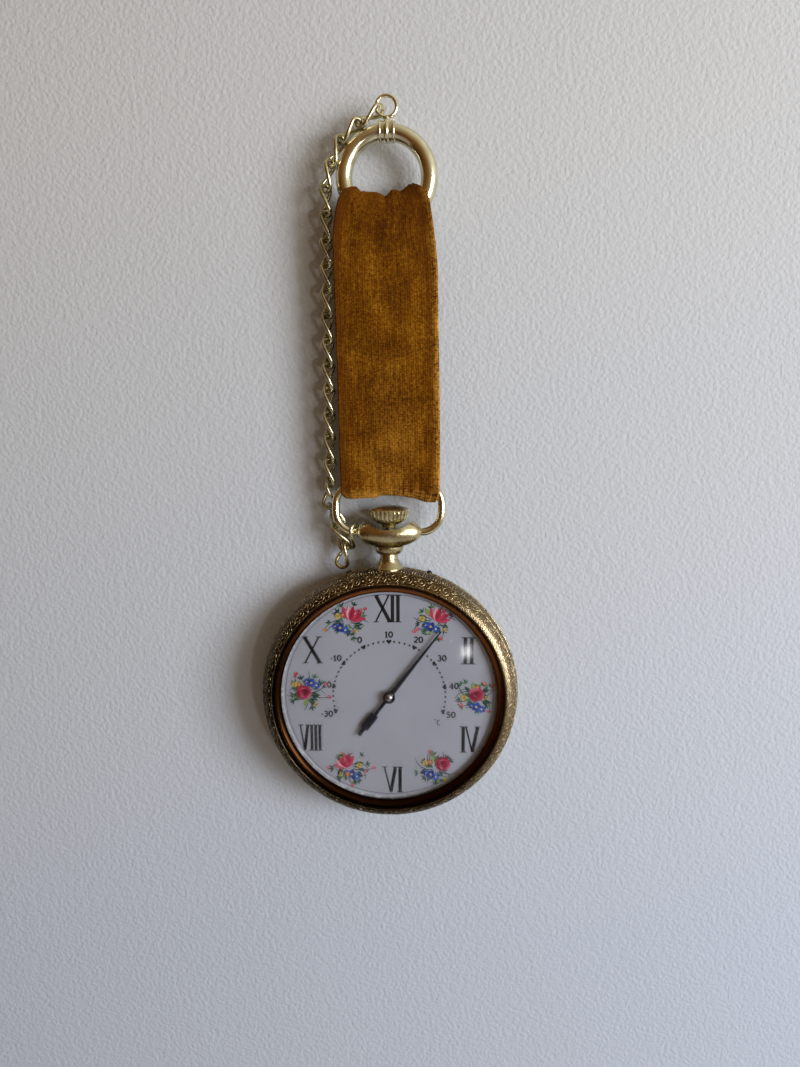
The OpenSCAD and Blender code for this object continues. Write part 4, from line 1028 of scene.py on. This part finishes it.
def posy(ink, x, y, flower, main, blue, sun, seed):
    """One painted posy: a main flower and small ones among leaves and stalks."""
    rng = random.Random(seed)
    ink.level, ink.step = 0, 1
    for k in range(13):
        a = 2 * math.pi * k / 13 + rng.uniform(-0.25, 0.25)
        c, s = math.cos(a), math.sin(a)
        far = rng.uniform(7.4, 11.0)
        curl = rng.choice((-1, 1)) * rng.uniform(0.7, 2.2)
        tip_x, tip_y = spray(ink, x + 1.5 * c, y + 1.3 * s, (far - 1.5) * (1 - 0.22 * abs(s)), a,
                             curl, rng.choice(STALKS))
        if k % 3 == 0:
            ink.blob(tip_x, tip_y, 0.85, 0.6, a, rng.choice(BUDS), 9)
            ink.blob(tip_x - 0.2, tip_y + 0.15, 0.3, 0.2, a, "#dba0a4", 7)
        else:
            for side in (-0.8, 0.0, 0.8):
                ink.leaf(x + 0.66 * far * c, y + 0.6 * far * s, rng.uniform(1.6, 2.3), 0.66,
                         a + side, rng.choice(GREENS[:3]))
    for k in range(15):
        a = 2 * math.pi * k / 15 + rng.uniform(-0.2, 0.2)
        far = rng.uniform(1.8, 3.6)
        px, py = x + far * math.cos(a), y + 0.9 * far * math.sin(a)
        turn = a + rng.uniform(-0.6, 0.6)
        ink.leaf(px, py, rng.uniform(2.4, 3.7), rng.uniform(1.1, 1.7), turn,
                 GREENS[(0, 1, 0, 2, 1, 3)[k % 6]])
        ink.stroke([(px, py), away(px, py, 2.2, turn)], [0.14, 0.04], "#8fae7d")
    for dx, dy, r, *tones in (
            (blue[0], blue[1], 1.9, "#1b3f9c", "#122c6b", "#d9bd4c"),
            (blue[0] + 2.0, blue[1] - 0.9, 1.5, "#3561b8", "#193a86", "#e3d79a"),
            (blue[0] - 1.9, blue[1] + 0.6, 1.2, "#2a55ac", "#142f74", "#d9bd4c"),
            (sun[0], sun[1], 1.25, "#bfae5c", "#a98a44", "#8f5522"),
            (-sun[1] * 0.8, -sun[0] * 0.7, 1.15, "#b9784a", "#a3522f", "#d8bd72"),
            (-sun[0] * 0.9, -sun[1] - 1.6, 0.85, "#b9ab60", "#978344", "#7c4a20")):
        small_flower(ink, x + dx, y + dy, r, *tones)
    if flower == "rose":
        rose(ink, x + main[0], y + main[1], 3.0, rng)
    else:
        lily(ink, x + main[0], y + main[1], 5.8, main[2], rng)


def make_dial_print():
    ink = Print()
    print_numerals(ink)
    print_scale(ink)
    for row in POSIES:
        posy(ink, *row)
    piece = mesh_piece("dial_print", ink.points, ink.faces, INKS, "case", smooth=False)
    colours = piece.data.color_attributes.new("ink", "FLOAT_COLOR", "CORNER")
    for polygon in piece.data.polygons:
        for loop in polygon.loop_indices:
            colours.data[loop].color = ink.inks[polygon.index]


# Engraving of the bezel

# Runs of ornament round the rim, the length and curls of one, and the radius for that length
RUNS, RUN_L, RUN_CURLS, RUN_R = 15, 20.4, 4, 48
CURLS_DOWN, BORDERS_DOWN = 3.0, (0.45, 5.75, 10.1, 11.9)
RIDGE_H, RIDGE_SUNK = 0.19, -0.03


def rim_length_table(n=400):
    """Arc length along the bezel's round from its crest, for each angle of the oval."""
    table, total, last = [], 0.0, None
    for k in range(n + 1):
        a = math.radians(90 - 128 * k / n)
        spot = (CREST_R + CREST_W * math.cos(a), CREST_H * math.sin(a))
        if last:
            total += math.dist(spot, last)
        last = spot
        table.append((total, a))
    return table


RIM = rim_length_table()


def on_rim(angle, down, lift):
    """A point over the bezel's round, by angle, length from the crest and height."""
    a = RIM[min(len(RIM) - 1, bisect.bisect_left(RIM, (down,)))][1]
    normal = Vector((math.cos(a) / CREST_W, math.sin(a) / CREST_H, 0)).normalized()
    r = CREST_R + CREST_W * math.cos(a) + lift * normal.x
    h = CREST_H * math.sin(a) + lift * normal.y
    return Vector((r * math.sin(angle), -h, r * math.cos(angle)))


def scroll_lines(rng):
    """Lines of one run: curls with leaves on the crest, acanthus below them and borders.

    Each is a path of places along the rim and lengths from the crest, and its width.
    """
    lines, mid = [], CURLS_DOWN
    step = RUN_L / RUN_CURLS
    for n in range(RUN_CURLS):
        side = 1 if n % 2 else -1
        cx = step * (n + 0.5)
        # The curl winds in from the stem, which comes from the neighbour
        curl = []
        for k in range(30):
            t = k / 29
            r = 1.95 * (1 - t) ** 0.9 + 0.16
            curl.append(away(cx, mid - side * 0.2, r, side * (math.pi * 0.95 - 3.4 * math.pi * t)))
        stem = [(cx - step * 0.5 + step * 0.3 * t, mid - side * (2.2 - 2.4 * t * t))
                for t in (0, 0.25, 0.5, 0.75, 1)]
        lines += [(curl, 0.34), (stem, 0.32)]
        for k in range(7):
            a = side * (-0.9 + 0.62 * k)
            x, y = away(cx, mid, 2.15, a)
            reach = rng.uniform(0.75, 1.15)
            lines.append(([away(x, y, t * reach, a + 0.8 * side * t) for t in (0, 0.4, 0.75, 1)],
                          0.26))
    for k in range(20):
        x = RUN_L * (k + 0.5) / 20
        lean = 0.9 if k % 4 < 2 else -0.9
        lines.append(([(x + lean * t, 6.3 + 3.6 * t + 0.6 * math.sin(math.pi * t))
                       for t in (0, 0.3, 0.6, 1)], 0.3))
        if k % 2:
            lines.append(([(x, 10.4), (x + 0.5, 11.5)], 0.3))
    return lines + [([(RUN_L * k / 24, down) for k in range(25)], 0.26) for down in BORDERS_DOWN]


def scroll_motif():
    """One run of the ornament, each line a closed bar with a ridge."""
    points, faces = [], []
    for path, width in scroll_lines(random.Random(5)):
        first = len(points)
        for (s, down), (nx, ny) in zip(path, lefts(path)):
            nx, ny = nx * width / 2, ny * width / 2
            for ds, dd, lift in ((nx, ny, RIDGE_SUNK), (0, 0, RIDGE_H), (-nx, -ny, RIDGE_SUNK)):
                points.append(on_rim((s + ds) / RUN_R, min(12.6, max(0.1, down + dd)), lift))
        faces.append((first, first + 1, first + 2))
        for b in range(first, len(points) - 3, 3):
            faces += [(b, b + 3, b + 4, b + 1), (b + 1, b + 4, b + 5, b + 2),
                      (b + 2, b + 5, b + 3, b)]
        last = len(points) - 3
        faces.append((last + 2, last + 1, last))
    piece = mesh_piece("scroll_motif", points, faces, GILT)
    outward(piece.data)
    return piece


def make_engraving():
    motif = scroll_motif()
    places = [((0, 0, CASE_Z), (0, 2 * math.pi * k / RUNS, 0)) for k in range(RUNS)]
    piece = spread("bezel_engraving", motif, places, GILT, "case")
    bpy.data.objects.remove(motif)


make_camera()
make_room()
make_strap()
make_chain()
make_bolt_spring()
make_dial_print()
make_engraving()

dress(GOLD, "hanging_eye", "ring_collar", "ring_tube", "ring_bolt", "bolt_lug", "bow")
dress(CROWN_GOLD, "crown", "pendant_foot", "pendant_head")
dress(BRONZE, "bezel")
dress(CASE_BRASS, "case_band", "rear_cover")
dress(MOVEMENT_BRASS, "movement_frame", "frame_pillars", "rear_bridge", "front_bush",
      "rear_bush", "coil_collet")
dress(DARK_STEEL, "rim_screws")
dress(STEEL, "pendant_stud", "pendant_nut", "frame_screws", "bridge_screws", "crown_stem",
      "pointer_arbor", "setting_arm", "coil_post")
dress(BIMETAL, "bimetal_coil")
dress(DIAL, "dial_plate")
dress(GLASS, "crystal")
dress(GASKET, "crystal_gasket")
dress(BLUED, "pointer")
dress(BLACK, "pointer_collet")
dress(CAP_STEEL, "pointer_cap")

bpy.context.scene.view_settings.view_transform = "Standard"
